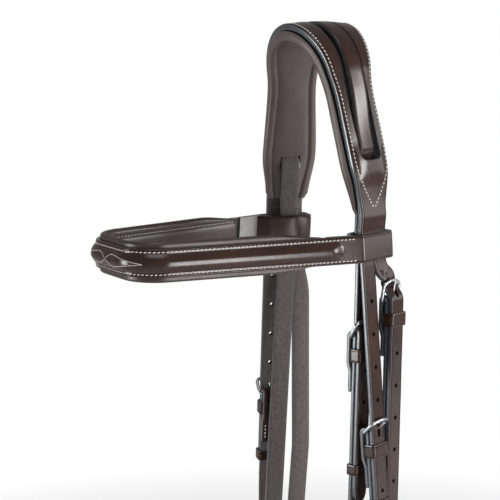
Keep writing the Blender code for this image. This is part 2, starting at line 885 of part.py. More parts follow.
def build_crown(leather, lining, foam):
    end = BROW_REACH + FORK_DROP
    tab = BROW_REACH - TAB_RISE
    headpiece = carved(headpiece_shape(end).mesh("headpiece"), [window_cutter()])
    piece("headpiece", headpiece, "root", leather)
    slots = [dive_cutter(NEAR), dive_cutter(FAR)]
    piece("crown_lining", carved(lining_shape(tab).mesh("lining"), slots), "root", lining)
    slots = [dive_cutter(NEAR), dive_cutter(FAR)]
    piece("crown_foam", carved(foam_shape(tab - FOAM_INSET).mesh("foam"), slots), "root", foam)
    piece("noseband_headstall", headstall_shape(), "root", leather)


# Browband


def brow_level():
    return side_frame(NEAR).translation.z


def plan_point(frame, out, back):
    point = frame @ Vector((out, back, 0))
    return Vector((point.x, point.y, 0))


def brow_plan():
    """Plan corners of the browband's middle line on the near side, and where its free run starts."""
    frame = side_frame(NEAR)
    half = CROWN_STRAP_WIDTH / 2 + LOOP_PLAY + BROW_THICK / 2
    rear = CROWN_STRAP_WIDTH / 2 + LOOP_BACK_PLAY + BROW_THICK / 2
    outer = CROWN_THICK / 2 + LOOP_OUT_PLAY + BROW_THICK / 2
    inner = CROWN_SEAT - nose_seat() + STRAP_THICK / 2 + LOOP_IN_PLAY + BROW_THICK / 2
    front = plan_point(frame, outer, -half)
    way = Vector((-math.sin(BROW_SIDE_TURN), -math.cos(BROW_SIDE_TURN), 0))
    inward = Vector((-math.cos(BROW_SIDE_TURN), math.sin(BROW_SIDE_TURN), 0))
    turn = math.pi / 2 - BROW_SIDE_TURN
    reach = BROW_CORNER * math.tan(turn / 2)
    spare = BROW_LENGTH / 2 - half - rear - front.x + 2 * reach - BROW_CORNER * turn
    side_run = spare / (1 - math.sin(BROW_SIDE_TURN))
    corner = front + way * side_run
    lap = inward * (BROW_THICK + GAP)
    loop = [
        (front + way * (LAP_START + LAP_LENGTH) + lap, 0),
        (front + way * LAP_START + lap, LOOP_CORNER),
        (plan_point(frame, -inner, -half + LOOP_CORNER), LOOP_CORNER),
        (plan_point(frame, -inner, rear), LOOP_CORNER),
        (plan_point(frame, outer, rear), LOOP_CORNER),
        (front, LOOP_CORNER),
    ]
    return loop, front, corner


def mirrored(corners):
    return [(Vector((-point.x, point.y, point.z)), radius) for point, radius in reversed(corners)]


def brow_line():
    """The browband's free run from near loop to far loop, as a dense plan route."""
    _, front, corner = brow_plan()
    near = [(front, 0), (corner, BROW_CORNER)]
    return dense(rounded(near + mirrored(near), 6), BAND_STEP)


def offset_line(points, offset):
    """A plan route moved outward by an offset."""
    moved = []
    for i, point in enumerate(points):
        way = (points[min(i + 1, len(points) - 1)] - points[max(i - 1, 0)]).normalized()
        moved.append(point + way.cross(UP) * -offset)
    return moved


def cut_line(points, start, end):
    """The part of a route between two distances from its start."""
    points = with_points_at(points, [start, end])
    kept = []
    run = 0.0
    small = GAP
    for i, point in enumerate(points):
        if i:
            run += (point - points[i - 1]).length
        if start - small <= run <= end + small:
            kept.append(point)
    return kept


def band_shape(points, level, height_at, thick, ends=SQUARE_ENDS, round_by=(0.0, 0.0)):
    """An upright band along a plan route at a level; its height may change along it."""
    total = route_length(points)
    points = with_points_at(points, [s * round_by[0] for s, _ in END_SHARES[ends[0]][1:]])
    points = with_points_at(points, [total - s * round_by[1] for s, _ in END_SHARES[ends[1]][1:]])
    rings = []
    run = 0.0
    for i, point in enumerate(points):
        before = points[max(i - 1, 0)]
        after = points[min(i + 1, len(points) - 1)]
        if i:
            run += (point - before).length
        way = (after - before).normalized()
        out = way.cross(UP)
        share = 1.0
        if round_by[0]:
            share *= end_share(ends[0], run / round_by[0])
        if round_by[1]:
            share *= end_share(ends[1], (total - run) / round_by[1])
        half = height_at(run, total) / 2 * share
        rings.append(profile(point + UP * level, UP, out, half, thick / 2, EDGE_BEVEL))
    return Shape().loft(rings)


def leaned(shape):
    """The browband flares to follow the crown straps that it hangs on."""
    level = brow_level()
    reach = side_frame(NEAR).translation.x
    for point in shape.points:
        point.x *= 1 - (point.z - level) * math.tan(FALL_LEAN) / reach
    return shape


def build_browband(leather, lining):
    level = brow_level()
    body("browband_body", Vector((0, 0, level)), "root")
    loop, front, corner = brow_plan()
    near = [*loop[:-1], (front, LOOP_CORNER), (corner, BROW_CORNER)]
    route = dense(rounded(near + mirrored(near), 6), 3 * BAND_STEP)
    strap = band_shape(route, level, lambda run, total: BROW_HEIGHT, BROW_THICK)
    piece("browband_strap", leaned(strap), "browband_body", leather)
    line = brow_line()
    total = route_length(line)
    pad = offset_line(line, -(BROW_THICK + BROW_PAD_THICK) / 2 - GAP)
    pad_start = LAP_START + BROW_PAD_START
    pad = cut_line(pad, pad_start, route_length(pad) - pad_start)

    def pad_height(run, length):
        edge = min(run, length - run)
        return blend(BROW_HEIGHT, BROW_PAD_HEIGHT, smooth(edge / BROW_PAD_TAPER))

    shape = band_shape(pad, level, pad_height, BROW_PAD_THICK)
    piece("browband_padding", leaned(shape), "browband_body", lining)
    raised = cut_line(line, RAISE_START, total - RAISE_START)
    raised = offset_line(raised, (BROW_THICK + RAISE_THICK) / 2 + GAP)
    ends = ("round", "round")
    rounding = (RAISE_ROUND, RAISE_ROUND)
    shape = band_shape(raised, level, lambda run, length: RAISE_HEIGHT, RAISE_THICK, ends, rounding)
    piece("browband_raised_strip", leaned(shape), "browband_body", leather)


# Cheekpieces


def cheek_frames(side):
    """The hinge at the billet's top, the buckle bar, and the lower run down to the bit loop."""
    hinge = shifted(fork_frame(NEAR), out=CHEEK_OUT, back=-HALF_WIDTH - GAP / 2)
    hinge = hinge @ Matrix.Rotation(CHEEK_BACK, 4, "X")
    out, _ = top_bar_spot(CHEEK_TILT)
    bar = shifted(hinge, out=-out, up=-CHEEK_BAR_DROP)
    bend = shifted(bar, out=STRAP_OUT, up=-CHEEK_BEND_DROP) @ Matrix.Rotation(CHEEK_UNBEND, 4, "Y")
    bit = shifted(bend, up=-CHEEK_RUN)
    frames = (hinge, bar, bend, bit)
    return frames if side == NEAR else tuple(MIRROR @ frame for frame in frames)


def build_cheek(side, leather, steel):
    name = f"{SIDE_NAMES[side]}_cheek"
    hinge, bar, bend, bit = cheek_frames(side)
    carrier = body(f"{name}piece_body", hinge.translation, "root")
    back = bar.to_3x3() @ BACK

    out, _ = top_bar_spot(CHEEK_TILT)
    upper = [(Vector((out, 0, CHEEK_BAR_DROP)), 0)]
    corners = billet_corners(CHEEK_TILT, upper, CHEEK_TAIL)
    points = [bar @ p for p in rounded(corners)]
    shape = strap_shape(points, lambda p: back, STRAP_WIDTH, BILLET_THICK, BILLET_ENDS, BILLET_TIPS)
    ups = [HOLE_PITCH * k for k in (1, 2, 3, 4)]
    holes = hole_cutters(bar, out, ups)
    holes += hole_cutters(bar, BILLET_OUT, [-2 * HOLE_PITCH + KEEPER_HEIGHT / 2])
    mesh = carved(shape.mesh("billet"), [punch_cutter(bar, CHEEK_TILT), *holes])
    piece(f"{name}_billet", mesh, carrier, leather)

    inverse = bar.inverted()
    loop_mid = BIT_LOOP_RADIUS + STRAP_THICK / 2
    side_by = STRAP_THICK + GAP
    lower = [
        (Vector((0, 0, -loop_mid)), loop_mid),
        (Vector((-2 * loop_mid - BIT_SEAT, 0, -loop_mid)), loop_mid),
        (Vector((-2 * loop_mid - BIT_SEAT, 0, BIT_HEEL)), KNEE_RADIUS),
        (Vector((-side_by, 0, BIT_RETURN)), KNEE_RADIUS),
        (Vector((-side_by, 0, BIT_TAIL)), 0),
    ]
    corners = fold_corners(CHEEK_BEND_DROP)
    corners += [(inverse @ (bit @ point), radius) for point, radius in lower]
    points = [bar @ p for p in rounded(corners)]
    shape = strap_shape(points, lambda p: back, STRAP_WIDTH, STRAP_THICK, ("square", "point"))
    stud = shifted(bit, up=STUD_RISE)
    room = STUD_RADIUS + GAP
    sink = STRAP_THICK / 2 - STUD_SINK - GAP
    through = rod(
        stud @ Vector((-side_by - STRAP_THICK, 0, 0)),
        stud @ Vector((-sink, 0, 0)),
        room,
        8,
    )
    mesh = carved(shape.mesh("strap"), [fold_cutter(bar), through.mesh("hole")])
    piece(f"{name}_strap", mesh, carrier, leather)

    half = STRAP_THICK / 2
    top = BIT_KEEPER_RISE + BIT_KEEPER_HEIGHT
    around = keeper(bit, -side_by - half - GAP, half + GAP, top, BIT_KEEPER_HEIGHT)
    piece(f"{SIDE_NAMES[side]}_bit_keeper", around, carrier, leather, True)
    piece(f"{SIDE_NAMES[side]}_hook_stud", hook_stud(stud, side_by), carrier, steel, True)
    buckle_set(name, bar, CHEEK_TILT, carrier, RUNNER_DROP, steel, leather)


def hook_stud(frame, side_by):
    """A stud sunk in the strap, whose flat plate holds the turned-back end."""
    start = -(STRAP_THICK / 2 - STUD_SINK)
    face = -side_by - STRAP_THICK / 2 - GAP
    end = face - STUD_PLATE_THICK
    sections = ((start, STUD_RADIUS, STUD_RADIUS), (face, STUD_RADIUS, STUD_RADIUS))
    sections += ((face, STUD_PLATE_WIDTH / 2, STUD_PLATE_LENGTH / 2),)
    sections += ((end, STUD_PLATE_WIDTH / 2, STUD_PLATE_LENGTH / 2),)
    rings = []
    for out, wide, tall in sections:
        turns = [math.tau * k / 10 for k in range(10)]
        rings.append([frame @ Vector((out, wide * math.cos(t), tall * math.sin(t))) for t in turns])
    return Shape().loft(rings)


# Throatlatch


def throat_frames():
    """The hinge at the forks and the near buckle's bar."""
    hinge = shifted(fork_frame(NEAR), back=HALF_WIDTH + GAP / 2, up=-THROAT_TOP_DROP)
    out, _ = top_bar_spot(THROAT_TILT, THROAT_BEND)
    bar = shifted(side_frame(NEAR), out=-out, back=THROAT_BACK, up=-THROAT_BAR_DROP)
    bar = bar @ Matrix.Rotation(THROAT_UPRIGHT, 4, "Y")
    return hinge, bar


def build_throatlatch(leather, steel):
    hinge, bar = throat_frames()
    pivot = Vector((0, hinge.translation.y, hinge.translation.z))
    carrier = body("throatlatch_body", pivot, "root")
    near_back = bar.to_3x3() @ BACK
    out, _ = top_bar_spot(THROAT_TILT, THROAT_BEND)
    start = bar.inverted() @ hinge.translation
    upper = [(start, 0), (Vector((out, 0, THROAT_TURN)), HALF_WIDTH + GAP)]
    corners = billet_corners(THROAT_TILT, upper, THROAT_TAIL, THROAT_BEND)
    points = [bar @ p for p in rounded(corners)]
    shape = strap_shape(points, lambda p: near_back, STRAP_WIDTH, BILLET_THICK, BILLET_ENDS, BILLET_TIPS)
    ups = [-HOLE_PITCH * k + KEEPER_HEIGHT for k in (2, 3, 4, 5, 6)]
    cutters = [punch_cutter(bar, THROAT_TILT), *hole_cutters(bar, BILLET_OUT, ups)]
    mesh = carved(shape.mesh("billet"), cutters)
    piece("near_throat_billet", mesh, carrier, leather)

    low = Vector((0, THROAT_LOW_BACK, -THROAT_BOTTOM))
    near_low = bar @ Vector((STRAP_OUT, 0, -THROAT_NEAR_DROP_LOW))
    far_fork = MIRROR @ fork_frame(NEAR)
    far_top = shifted(far_fork, back=HALF_WIDTH + GAP / 2, up=-THROAT_FAR_TOP_DROP).translation
    far_high = far_fork @ Vector((0, THROAT_FAR_BACK_HIGH, -THROAT_FAR_DROP_HIGH))
    far_low = far_fork @ Vector((0, THROAT_FAR_BACK_LOW, -THROAT_FAR_DROP_LOW))
    far_low.x = blend(far_high.x, far_low.x, 0.5)
    corners = [(bar @ point, radius) for point, radius in fold_corners(THROAT_NEAR_DROP_LOW)[:-1]]
    corners += [
        (near_low, THROAT_CORNER),
        (Vector((THROAT_SPREAD, low.y, low.z)), THROAT_CORNER),
        (Vector((-THROAT_SPREAD, low.y, low.z)), THROAT_CORNER),
        (far_low, THROAT_CORNER),
        (far_high, THROAT_CORNER),
        (far_top, 0),
    ]
    far_back = Vector((-near_back.x, near_back.y, near_back.z))

    def back_at(point):
        """The strap's width turns from the near side's direction to the far side's round the bottom."""
        share = smooth((THROAT_SPREAD - point.x) / (2 * THROAT_SPREAD))
        return near_back.lerp(far_back, share)

    points = rounded(corners, 6)
    ends = ("square", "round")
    shape = strap_shape(points, back_at, STRAP_WIDTH, STRAP_THICK, ends, (TIP_LENGTH, HINGE_ROUND))
    mesh = carved(shape.mesh("strap"), [fold_cutter(bar)])
    piece("throatlatch_strap", mesh, carrier, leather)
    buckle_set("throat", bar, THROAT_TILT, carrier, THROAT_RUNNER_DROP, steel, leather)


# Noseband


def nose_frames(side):
    """The hinge at the strap's top and, on the near side, the buckle's bar."""
    shift = NOSE_NEAR_BACK if side == NEAR else NOSE_FAR_BACK
    fork = fork_frame(NEAR)
    top = fork @ Vector((nose_seat() - CROWN_SEAT, shift, 0))
    foot = Vector((NOSE_STRAP_X, NOSE_STRAP_Y, -NOSE_DROP))
    up = (top - foot).normalized()
    toed = fork.to_3x3() @ Vector((1, 0, 0))
    out = (toed - up * toed.dot(up)).normalized()
    hinge = frame_of(top, out, up.cross(out), up)
    over, _ = top_bar_spot(NOSE_TILT)
    bar = shifted(hinge, out=-over, up=-NOSE_BAR_DROP)
    return (hinge, bar, foot) if side == NEAR else (MIRROR @ hinge, MIRROR @ bar, MIRROR @ foot)


def ring_side():
    """How far out the noseband's band lies, outside the cheek straps sewn to it."""
    return NOSE_STRAP_X + STRAP_THICK / 2 + GAP + NOSE_BAND_THICK / 2


def chin_frame():
    """The chin buckle's bar: out is +X, up runs back along the band, and back points down."""
    place = Vector((ring_side() - STRAP_OUT, CHIN_BAR_BACK, -NOSE_DROP))
    return frame_of(place, Vector((1, 0, 0)), -UP, BACK)


def nose_line():
    """The band's front run, from just ahead of the near cheek strap round the nose to the far side."""
    side = ring_side()
    near = [(Vector((side, 0, 0)), 0), (Vector((side, -NOSE_FRONT, 0)), NOSE_CORNER)]
    return dense(rounded(near + mirrored(near), 6), BAND_STEP)


def build_noseband(leather, lining, steel):
    hinge, bar, foot = nose_frames(NEAR)
    pivot = Vector((0, hinge.translation.y, hinge.translation.z))
    carrier = body("noseband_body", pivot, "root")
    level = -NOSE_DROP
    side = ring_side()
    bottom = level - NOSE_BAND_HEIGHT / 2 + GAP
    over, _ = top_bar_spot(NOSE_TILT)
    near_back = bar.to_3x3() @ BACK

    upper = [(Vector((over, 0, NOSE_BAR_DROP)), 0)]
    points = [bar @ p for p in rounded(billet_corners(NOSE_TILT, upper, NOSE_TAIL))]
    shape = strap_shape(points, lambda p: near_back, STRAP_WIDTH, BILLET_THICK, BILLET_ENDS, BILLET_TIPS)
    ups = [HOLE_PITCH + KEEPER_DROP]
    holes = hole_cutters(bar, over, ups)
    holes += hole_cutters(bar, BILLET_OUT, [-HOLE_PITCH * k for k in (1, 2, 3)])
    mesh = carved(shape.mesh("billet"), [punch_cutter(bar, NOSE_TILT), *holes])
    piece("near_noseband_billet", mesh, carrier, leather)

    def untoed(top_back):
        """The straps turn square to the band before they meet it."""

        def back_at(point):
            start = bar.translation.z - NOSE_TAIL
            share = smooth((start - point.z) / (start - level - NOSE_PAD_HEIGHT))
            return top_back.lerp(BACK, share)

        return back_at

    near_foot = Vector((NOSE_STRAP_X, NOSE_STRAP_Y, level + 2 * NOSE_PAD_HEIGHT))
    end = Vector((NOSE_STRAP_X, NOSE_STRAP_Y, bottom))
    corners = [(bar @ p, r) for p, r in fold_corners(NOSE_TAIL + RUNNER_HEIGHT)]
    corners += [(near_foot, CHEEK_BEND_RADIUS), (end, 0)]
    points = dense(rounded(corners), 3 * BAND_STEP)
    shape = strap_shape(points, untoed(near_back), STRAP_WIDTH, STRAP_THICK)
    mesh = carved(shape.mesh("strap"), [fold_cutter(bar)])
    piece("near_noseband_strap", mesh, carrier, leather)
    buckle_set("noseband", bar, NOSE_TILT, carrier, NOSE_RUNNER_DROP, steel, leather)

    far_hinge, _, _ = nose_frames(FAR)
    far_foot = Vector((-near_foot.x, near_foot.y, near_foot.z))
    far_end = Vector((-end.x, end.y, end.z))
    corners = [(far_hinge.translation, 0), (far_foot, CHEEK_BEND_RADIUS), (far_end, 0)]
    points = dense(rounded(corners), 3 * BAND_STEP)
    far_back = far_hinge.to_3x3() @ BACK
    ends = ("round", "square")
    shape = strap_shape(points, untoed(far_back), STRAP_WIDTH, STRAP_THICK, ends, BILLET_TIPS)
    piece("far_noseband_strap", shape, carrier, leather)
    build_nosepiece(carrier, level, side, leather, lining)
    build_chin(carrier, level, side, leather, steel)


def build_nosepiece(carrier, level, side, leather, lining):
    chin = chin_frame()
    taper = [Vector((side, NOSE_TAPER_BACK + NOSE_TAPER, level)), Vector((side, NOSE_TAPER_BACK, level))]
    front = Vector((side, -NOSE_FRONT, level))
    near = [*((spot, 0) for spot in taper), (front, NOSE_CORNER)]
    corners = [(chin @ p, r) for p, r in fold_corners(CHIN_BAR_BACK)[:-1]]
    corners += near + mirrored(near)
    corners += [(Vector((-side, NOSE_FAR_END, level)), 0)]
    points = dense(rounded(corners, 6), 2 * BAND_STEP)

    def height(point):
        """The band narrows behind the cheek straps to fit its buckle."""
        share = smooth((point.y - NOSE_TAPER_BACK) / NOSE_TAPER)
        return blend(NOSE_BAND_HEIGHT, STRAP_WIDTH, share)

    shape = strap_shape(points, lambda p: UP, height, NOSE_BAND_THICK)
    piece("nosepiece_band", carved(shape.mesh("band"), [fold_cutter(chin)]), carrier, leather)

    line = nose_line()
    pad = cut_line(line, -NOSE_PAD_BACK, route_length(line) + NOSE_PAD_BACK)
    pad = offset_line(pad, -(NOSE_BAND_THICK + NOSE_PAD_THICK) / 2 - GAP)

    def pad_height(run, length):
        edge = min(run, length - run)
        return blend(NOSE_BAND_HEIGHT, NOSE_PAD_HEIGHT, smooth(edge / BROW_PAD_TAPER))

    piece("nosepiece_padding", band_shape(pad, level, pad_height, NOSE_PAD_THICK), carrier, lining)
    raised = cut_line(line, -NOSE_RAISE_BACK, route_length(line) + NOSE_RAISE_BACK)
    raised = offset_line(raised, (NOSE_BAND_THICK + NOSE_RAISE_THICK) / 2 + GAP)
    ends = ("round", "round")
    rounding = (RAISE_ROUND, RAISE_ROUND)

    def raised_height(run, length):
        return NOSE_RAISE_HEIGHT

    shape = band_shape(raised, level, raised_height, NOSE_RAISE_THICK, ends, rounding)
    piece("nosepiece_raised_strip", shape, carrier, leather)


def build_chin(carrier, level, side, leather, steel):
    chin = chin_frame()
    out, _ = top_bar_spot(CHIN_TILT)
    near_x = (chin @ Vector((out, 0, 0))).x
    far_x = side - NOSE_BAND_THICK / 2 - GAP - BILLET_THICK / 2
    inverse = chin.inverted()
    world = [
        (Vector((-far_x, CHIN_LAP, level)), 0),
        (Vector((-far_x, CHIN_BACK, level)), CHIN_CORNER),
        (Vector((near_x, CHIN_BACK, level)), CHIN_CORNER),
    ]
    upper = [(inverse @ point, radius) for point, radius in world]
    points = [chin @ p for p in rounded(billet_corners(CHIN_TILT, upper, CHIN_TAIL), 6)]
    shape = strap_shape(points, lambda p: UP, STRAP_WIDTH, BILLET_THICK, ("square", "point"))
    cutters = [punch_cutter(chin, CHIN_TILT), *hole_cutters(chin, out, [HOLE_PITCH])]
    mesh = carved(shape.mesh("billet"), cutters)
    piece("chin_strap", mesh, carrier, leather)
    buckle_set("chin", chin, CHIN_TILT, carrier, RUNNER_DROP, steel, leather)


def build():
    for old in list(bpy.data.objects):
        bpy.data.objects.remove(old)
    leather = material("brown_leather", (0.045, 0.020, 0.014), 0.32)
    lining = material("lining_leather", (0.040, 0.022, 0.018), 0.45)
    foam = material("foam", (0.30, 0.27, 0.22), 0.9)
    steel = material("stainless_steel", (0.75, 0.75, 0.74), 0.22, 1.0)
    body("root", Vector((0, 0, 0)))
    build_crown(leather, lining, foam)
    build_browband(leather, lining)
    for side in (NEAR, FAR):
        build_cheek(side, leather, steel)
    build_throatlatch(leather, steel)
    build_noseband(leather, lining, steel)


build()
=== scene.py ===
"""Looks of the hunter bridle: fine versions of its straps, pads, threads and wires in the model's own frame.

Metres, +Z up. The horse faces -Y and its near (left) side is +X. The origin is the middle of the
crown lining's underside.
"""

import math

import bmesh
import bpy
from mathutils import Matrix, Vector, noise


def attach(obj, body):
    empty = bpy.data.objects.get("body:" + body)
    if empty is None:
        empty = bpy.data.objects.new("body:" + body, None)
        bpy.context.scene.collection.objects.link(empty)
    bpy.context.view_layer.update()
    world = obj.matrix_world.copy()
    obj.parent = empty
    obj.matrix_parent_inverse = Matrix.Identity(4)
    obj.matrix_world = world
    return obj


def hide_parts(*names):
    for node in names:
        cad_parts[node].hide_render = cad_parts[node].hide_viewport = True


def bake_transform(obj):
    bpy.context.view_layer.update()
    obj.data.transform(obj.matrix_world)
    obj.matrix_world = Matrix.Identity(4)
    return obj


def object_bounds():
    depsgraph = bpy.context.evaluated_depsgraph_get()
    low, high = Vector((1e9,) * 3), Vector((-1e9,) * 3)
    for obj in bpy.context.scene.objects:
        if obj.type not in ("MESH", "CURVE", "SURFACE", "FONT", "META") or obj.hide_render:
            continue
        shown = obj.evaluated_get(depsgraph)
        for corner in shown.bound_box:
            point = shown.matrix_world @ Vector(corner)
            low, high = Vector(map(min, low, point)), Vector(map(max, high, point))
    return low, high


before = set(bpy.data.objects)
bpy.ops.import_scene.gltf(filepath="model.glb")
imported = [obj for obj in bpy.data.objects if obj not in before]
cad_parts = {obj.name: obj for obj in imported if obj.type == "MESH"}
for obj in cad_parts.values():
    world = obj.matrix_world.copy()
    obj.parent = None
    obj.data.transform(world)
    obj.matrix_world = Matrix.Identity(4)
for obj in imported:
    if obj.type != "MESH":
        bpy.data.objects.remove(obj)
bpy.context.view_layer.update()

# Sizes shared with the model
GAP = 0.0003
STRAP_WIDTH = 0.0127
STRAP_THICK = 0.0028
BILLET_THICK = 0.0031
TIP_LENGTH = 0.010
HINGE_GAP = 0.0006

POLL_RADIUS = 0.0260
CROWN_LEAN = math.radians(12.5)
FALL_LEAN = math.radians(5.5)
TOE = math.radians(16.0)
TOE_REACH = 0.140
FALL_BACK = 0.0081
FALL_REACH = 0.130
BEND_RADIUS = 0.110
BROW_REACH = 0.1470
TAB_RISE = 0.0205
SLOT_RISE = 0.0525
WAIST_REACH = 0.051
FORK_DROP = 0.0115
CROWN_THICK = 0.0040
CROWN_STRAP_WIDTH = 0.0254
CROWN_TOP_WIDTH = 0.046
CROWN_WAIST_WIDTH = 0.0302
CROWN_LOW_WIDTH = 0.0332
CROWN_RISE = 0.0018
CROWN_SEAT = 0.0030
PAD_MARGIN = 0.0025
PAD_THICK = 0.0058
PAD_END_THICK = 0.0026
PAD_TAPER = 0.026
WINDOW_MARGIN = 0.0029
WINDOW_SHORT = 0.0010
SLOT_CLEAR = 0.0008
DIVE_LENGTH = 0.0170
DIVE_RADIUS = 0.0090

BROW_LENGTH = 0.414
BROW_THICK = 0.0024
BROW_HEIGHT = 0.0175
BROW_SIDE_TURN = math.radians(10.0)
BROW_CORNER = 0.024
LOOP_PLAY = 0.0008
LOOP_BACK_PLAY = 0.0026
LOOP_OUT_PLAY = 0.0005
LOOP_IN_PLAY = 0.0010
LOOP_CORNER = 0.0022
LAP_LENGTH = 0.016
LAP_START = 0.008
BROW_PAD_THICK = 0.0046
BROW_PAD_HEIGHT = 0.0245
BROW_PAD_START = 0.0175
BROW_PAD_TAPER = 0.035
RAISE_HEIGHT = 0.0120
RAISE_THICK = 0.0028
RAISE_START = 0.0135

BAR_RADIUS = 0.0008
WIRE_RADIUS = 0.00115
TONGUE_RADIUS = 0.00085
ARM_LENGTH = 0.0125
ARM_PLAY = 0.00075
BUCKLE_CORNER = 0.0035
BUCKLE_BOW = 0.0012
TONGUE_OVERHANG = 0.0014
TONGUE_LIFT = 0.0003
SWING = math.radians(5.0)
KNEE = 0.0030
KNEE_RADIUS = 0.0070
PUNCH_HALF_WIDTH = 0.0013
PUNCH_HALF_LENGTH = 0.0044
TURN_BACK = 0.036
TURN_CLOSE = 0.020
HOLE_RADIUS = 0.0011
HOLE_PITCH = 0.0214

KEEPER_THICK = 0.0014
KEEPER_HEIGHT = 0.0090
KEEPER_DROP = 0.0070
KEEPER_CORNER = 0.0016
RUNNER_HEIGHT = 0.0070
RUNNER_DROP = 0.0440

CHEEK_BACK = math.radians(1.5)
CHEEK_OUT = 0.0006
CHEEK_BAR_DROP = 0.1085
CHEEK_TILT = math.radians(50.0)
CHEEK_TAIL = 0.0560
CHEEK_UNBEND = math.radians(5.0)
CHEEK_BEND_DROP = 0.066
CHEEK_BEND_RADIUS = 0.090
CHEEK_RUN = 0.157
BIT_LOOP_RADIUS = 0.0050
BIT_SEAT = 0.0030
BIT_HEEL = 0.0030
BIT_RETURN = 0.022
BIT_TAIL = 0.062
BIT_KEEPER_RISE = 0.026
BIT_KEEPER_HEIGHT = 0.0080
STUD_RISE = 0.046
STUD_RADIUS = 0.0013
STUD_SINK = 0.0013
STUD_PLATE_LENGTH = 0.0090
STUD_PLATE_WIDTH = 0.0052
STUD_PLATE_THICK = 0.0011

THROAT_BEND = 0.0040
THROAT_TOP_DROP = 0.0042
THROAT_FAR_TOP_DROP = 0.0012
THROAT_BACK = 0.0140
THROAT_BAR_DROP = 0.0370
THROAT_UPRIGHT = math.radians(5.0)
THROAT_TILT = math.radians(8.0)
THROAT_TAIL = 0.164
THROAT_RUNNER_DROP = 0.138
THROAT_TURN = 0.0165
THROAT_BOTTOM = 0.448
THROAT_CORNER = 0.052
THROAT_FAR_BACK_HIGH = 0.0155
THROAT_FAR_DROP_HIGH = 0.034
THROAT_FAR_BACK_LOW = 0.0200
THROAT_FAR_DROP_LOW = 0.150
THROAT_NEAR_DROP_LOW = 0.173
THROAT_SPREAD = 0.0675
THROAT_LOW_BACK = 0.0236

NOSE_CLEAR = 0.0018
NOSE_NEAR_BACK = -0.0035
NOSE_FAR_BACK = 0.0020
NOSE_BAR_DROP = 0.0470
NOSE_TILT = math.radians(29.0)
NOSE_TAIL = 0.110
NOSE_RUNNER_DROP = 0.084
NOSE_DROP = 0.388
NOSE_STRAP_X = 0.0475
NOSE_STRAP_Y = -0.0014
NOSE_BAND_HEIGHT = 0.019
NOSE_BAND_THICK = 0.0028
NOSE_PAD_HEIGHT = 0.025
NOSE_PAD_THICK = 0.0046
NOSE_RAISE_HEIGHT = 0.0130
NOSE_RAISE_THICK = 0.0030
NOSE_FRONT = 0.100
NOSE_CORNER = 0.042
NOSE_PAD_BACK = -0.016
NOSE_RAISE_BACK = -0.020
NOSE_TAPER_BACK = 0.006
NOSE_TAPER = 0.014
NOSE_FAR_END = 0.046
CHIN_BAR_BACK = 0.090
CHIN_TILT = math.radians(20.0)
CHIN_TAIL = 0.054
CHIN_BACK = 0.140
CHIN_CORNER = 0.036
CHIN_LAP = 0.012

# Sizes of the looks
STEP = 0.004
ARC_STEPS = 12
EDGE_ROUND = 0.0010
BACK_ROUND = 0.00035
CREASE_IN = 0.0014
CREASE_HALF = 0.00036
CREASE_DEPTH = 0.00034
SEAM_RISE = 0.0040
SEAM_LAP = 0.0010
STITCH_PITCH = 0.0027
STITCH_LENGTH = 0.0018
STITCH_RADIUS = 0.00034
STITCH_SLANT = math.radians(12.0)
FINE_PITCH = 0.0016
FINE_LENGTH = 0.0013
FINE_RADIUS = 0.00022
ROW_IN = 0.0020
CROWN_ROW_IN = 0.0019
ROLL_WIDTH = 0.0058
WINDOW_CORNER = 0.0042
RISE_EARLY = 0.018
HUMP_RISE = 0.0016
HUMP_REACH = 0.0160
FOAM_INSET = 0.0046
LOOP_BOW = 0.0007
LOOP_BOW_RADIUS = 0.09
SKIVED = 0.002  # how far the pared flesh runs on past the lap
WINDOW_FREE = 0.045
WINDOW_HELD = 0.080
STRAP_LIFT = 0.0012
STRAP_BACK = 0.0022
CROWN_STEP = 0.0018
BAND_STEP = 0.003
LEAF_STEP = 0.001
HUMP_SHIFT = 0.001
WINDOW_LOW = 0.0016
FOAM_LOW = 0.0017
FOAM_SHORT = 0.004
CROWN_ROW_TURN = 0.094
CROWN_ROW_TIP = 0.1240
LINING_ROW_END = 0.1225
LINING_ROW_OUT = 0.0009
BROW_SEWN = 0.0045
PAD_SEWN = 0.004
PAD_ROUND = 0.005
PAD_FLAT = 0.84
PAD_MARKS = (0.0003, 0.0008, 0.0016, 0.0026, 0.0038)
PAD_ROLL = ((0.14, -0.62), (0.32, -0.92), (0.52, -1.0), (0.72, -0.88), (0.88, -0.52), (0.97, -0.1))
PAD_ROLL += ((1.0, 0.28), (0.95, 0.62), (0.84, 0.88), (0.68, 0.96), (0.45, 0.9))
RAISED_MARKS = (0.0002, 0.0006, 0.0012, 0.002, 0.003, 0.0042, 0.0056, 0.0075, 0.0095)
HOLE_STEPS = ((-1.6, 1.35), (-0.5, 1.35), (-0.36, 1.0), (0.36, 1.0), (0.5, 1.35), (1.6, 1.35))
KEEPER_THIN = 0.00018
FORK_BEND = 0.03
THROAT_BLEND = (0.007, 0.009)
CHEEK_SEWN_ACROSS = 0.0042
CHEEK_SEWN = (0.0215, 0.0345)
FLOOR_DROP = 0.03

NEAR, FAR = 1, -1
SIDE_NAMES = {NEAR: "near", FAR: "far"}
MIRROR = Matrix.Diagonal((-1.0, 1.0, 1.0, 1.0))
UP = Vector((0, 0, 1))
BACK = Vector((0, 1, 0))
# The fourth finish goes on the walls of punched holes; it is painted near black as the shade inside them.
GRAIN, EDGE, FLESH, SHADED_HOLE = 0, 1, 2, 3

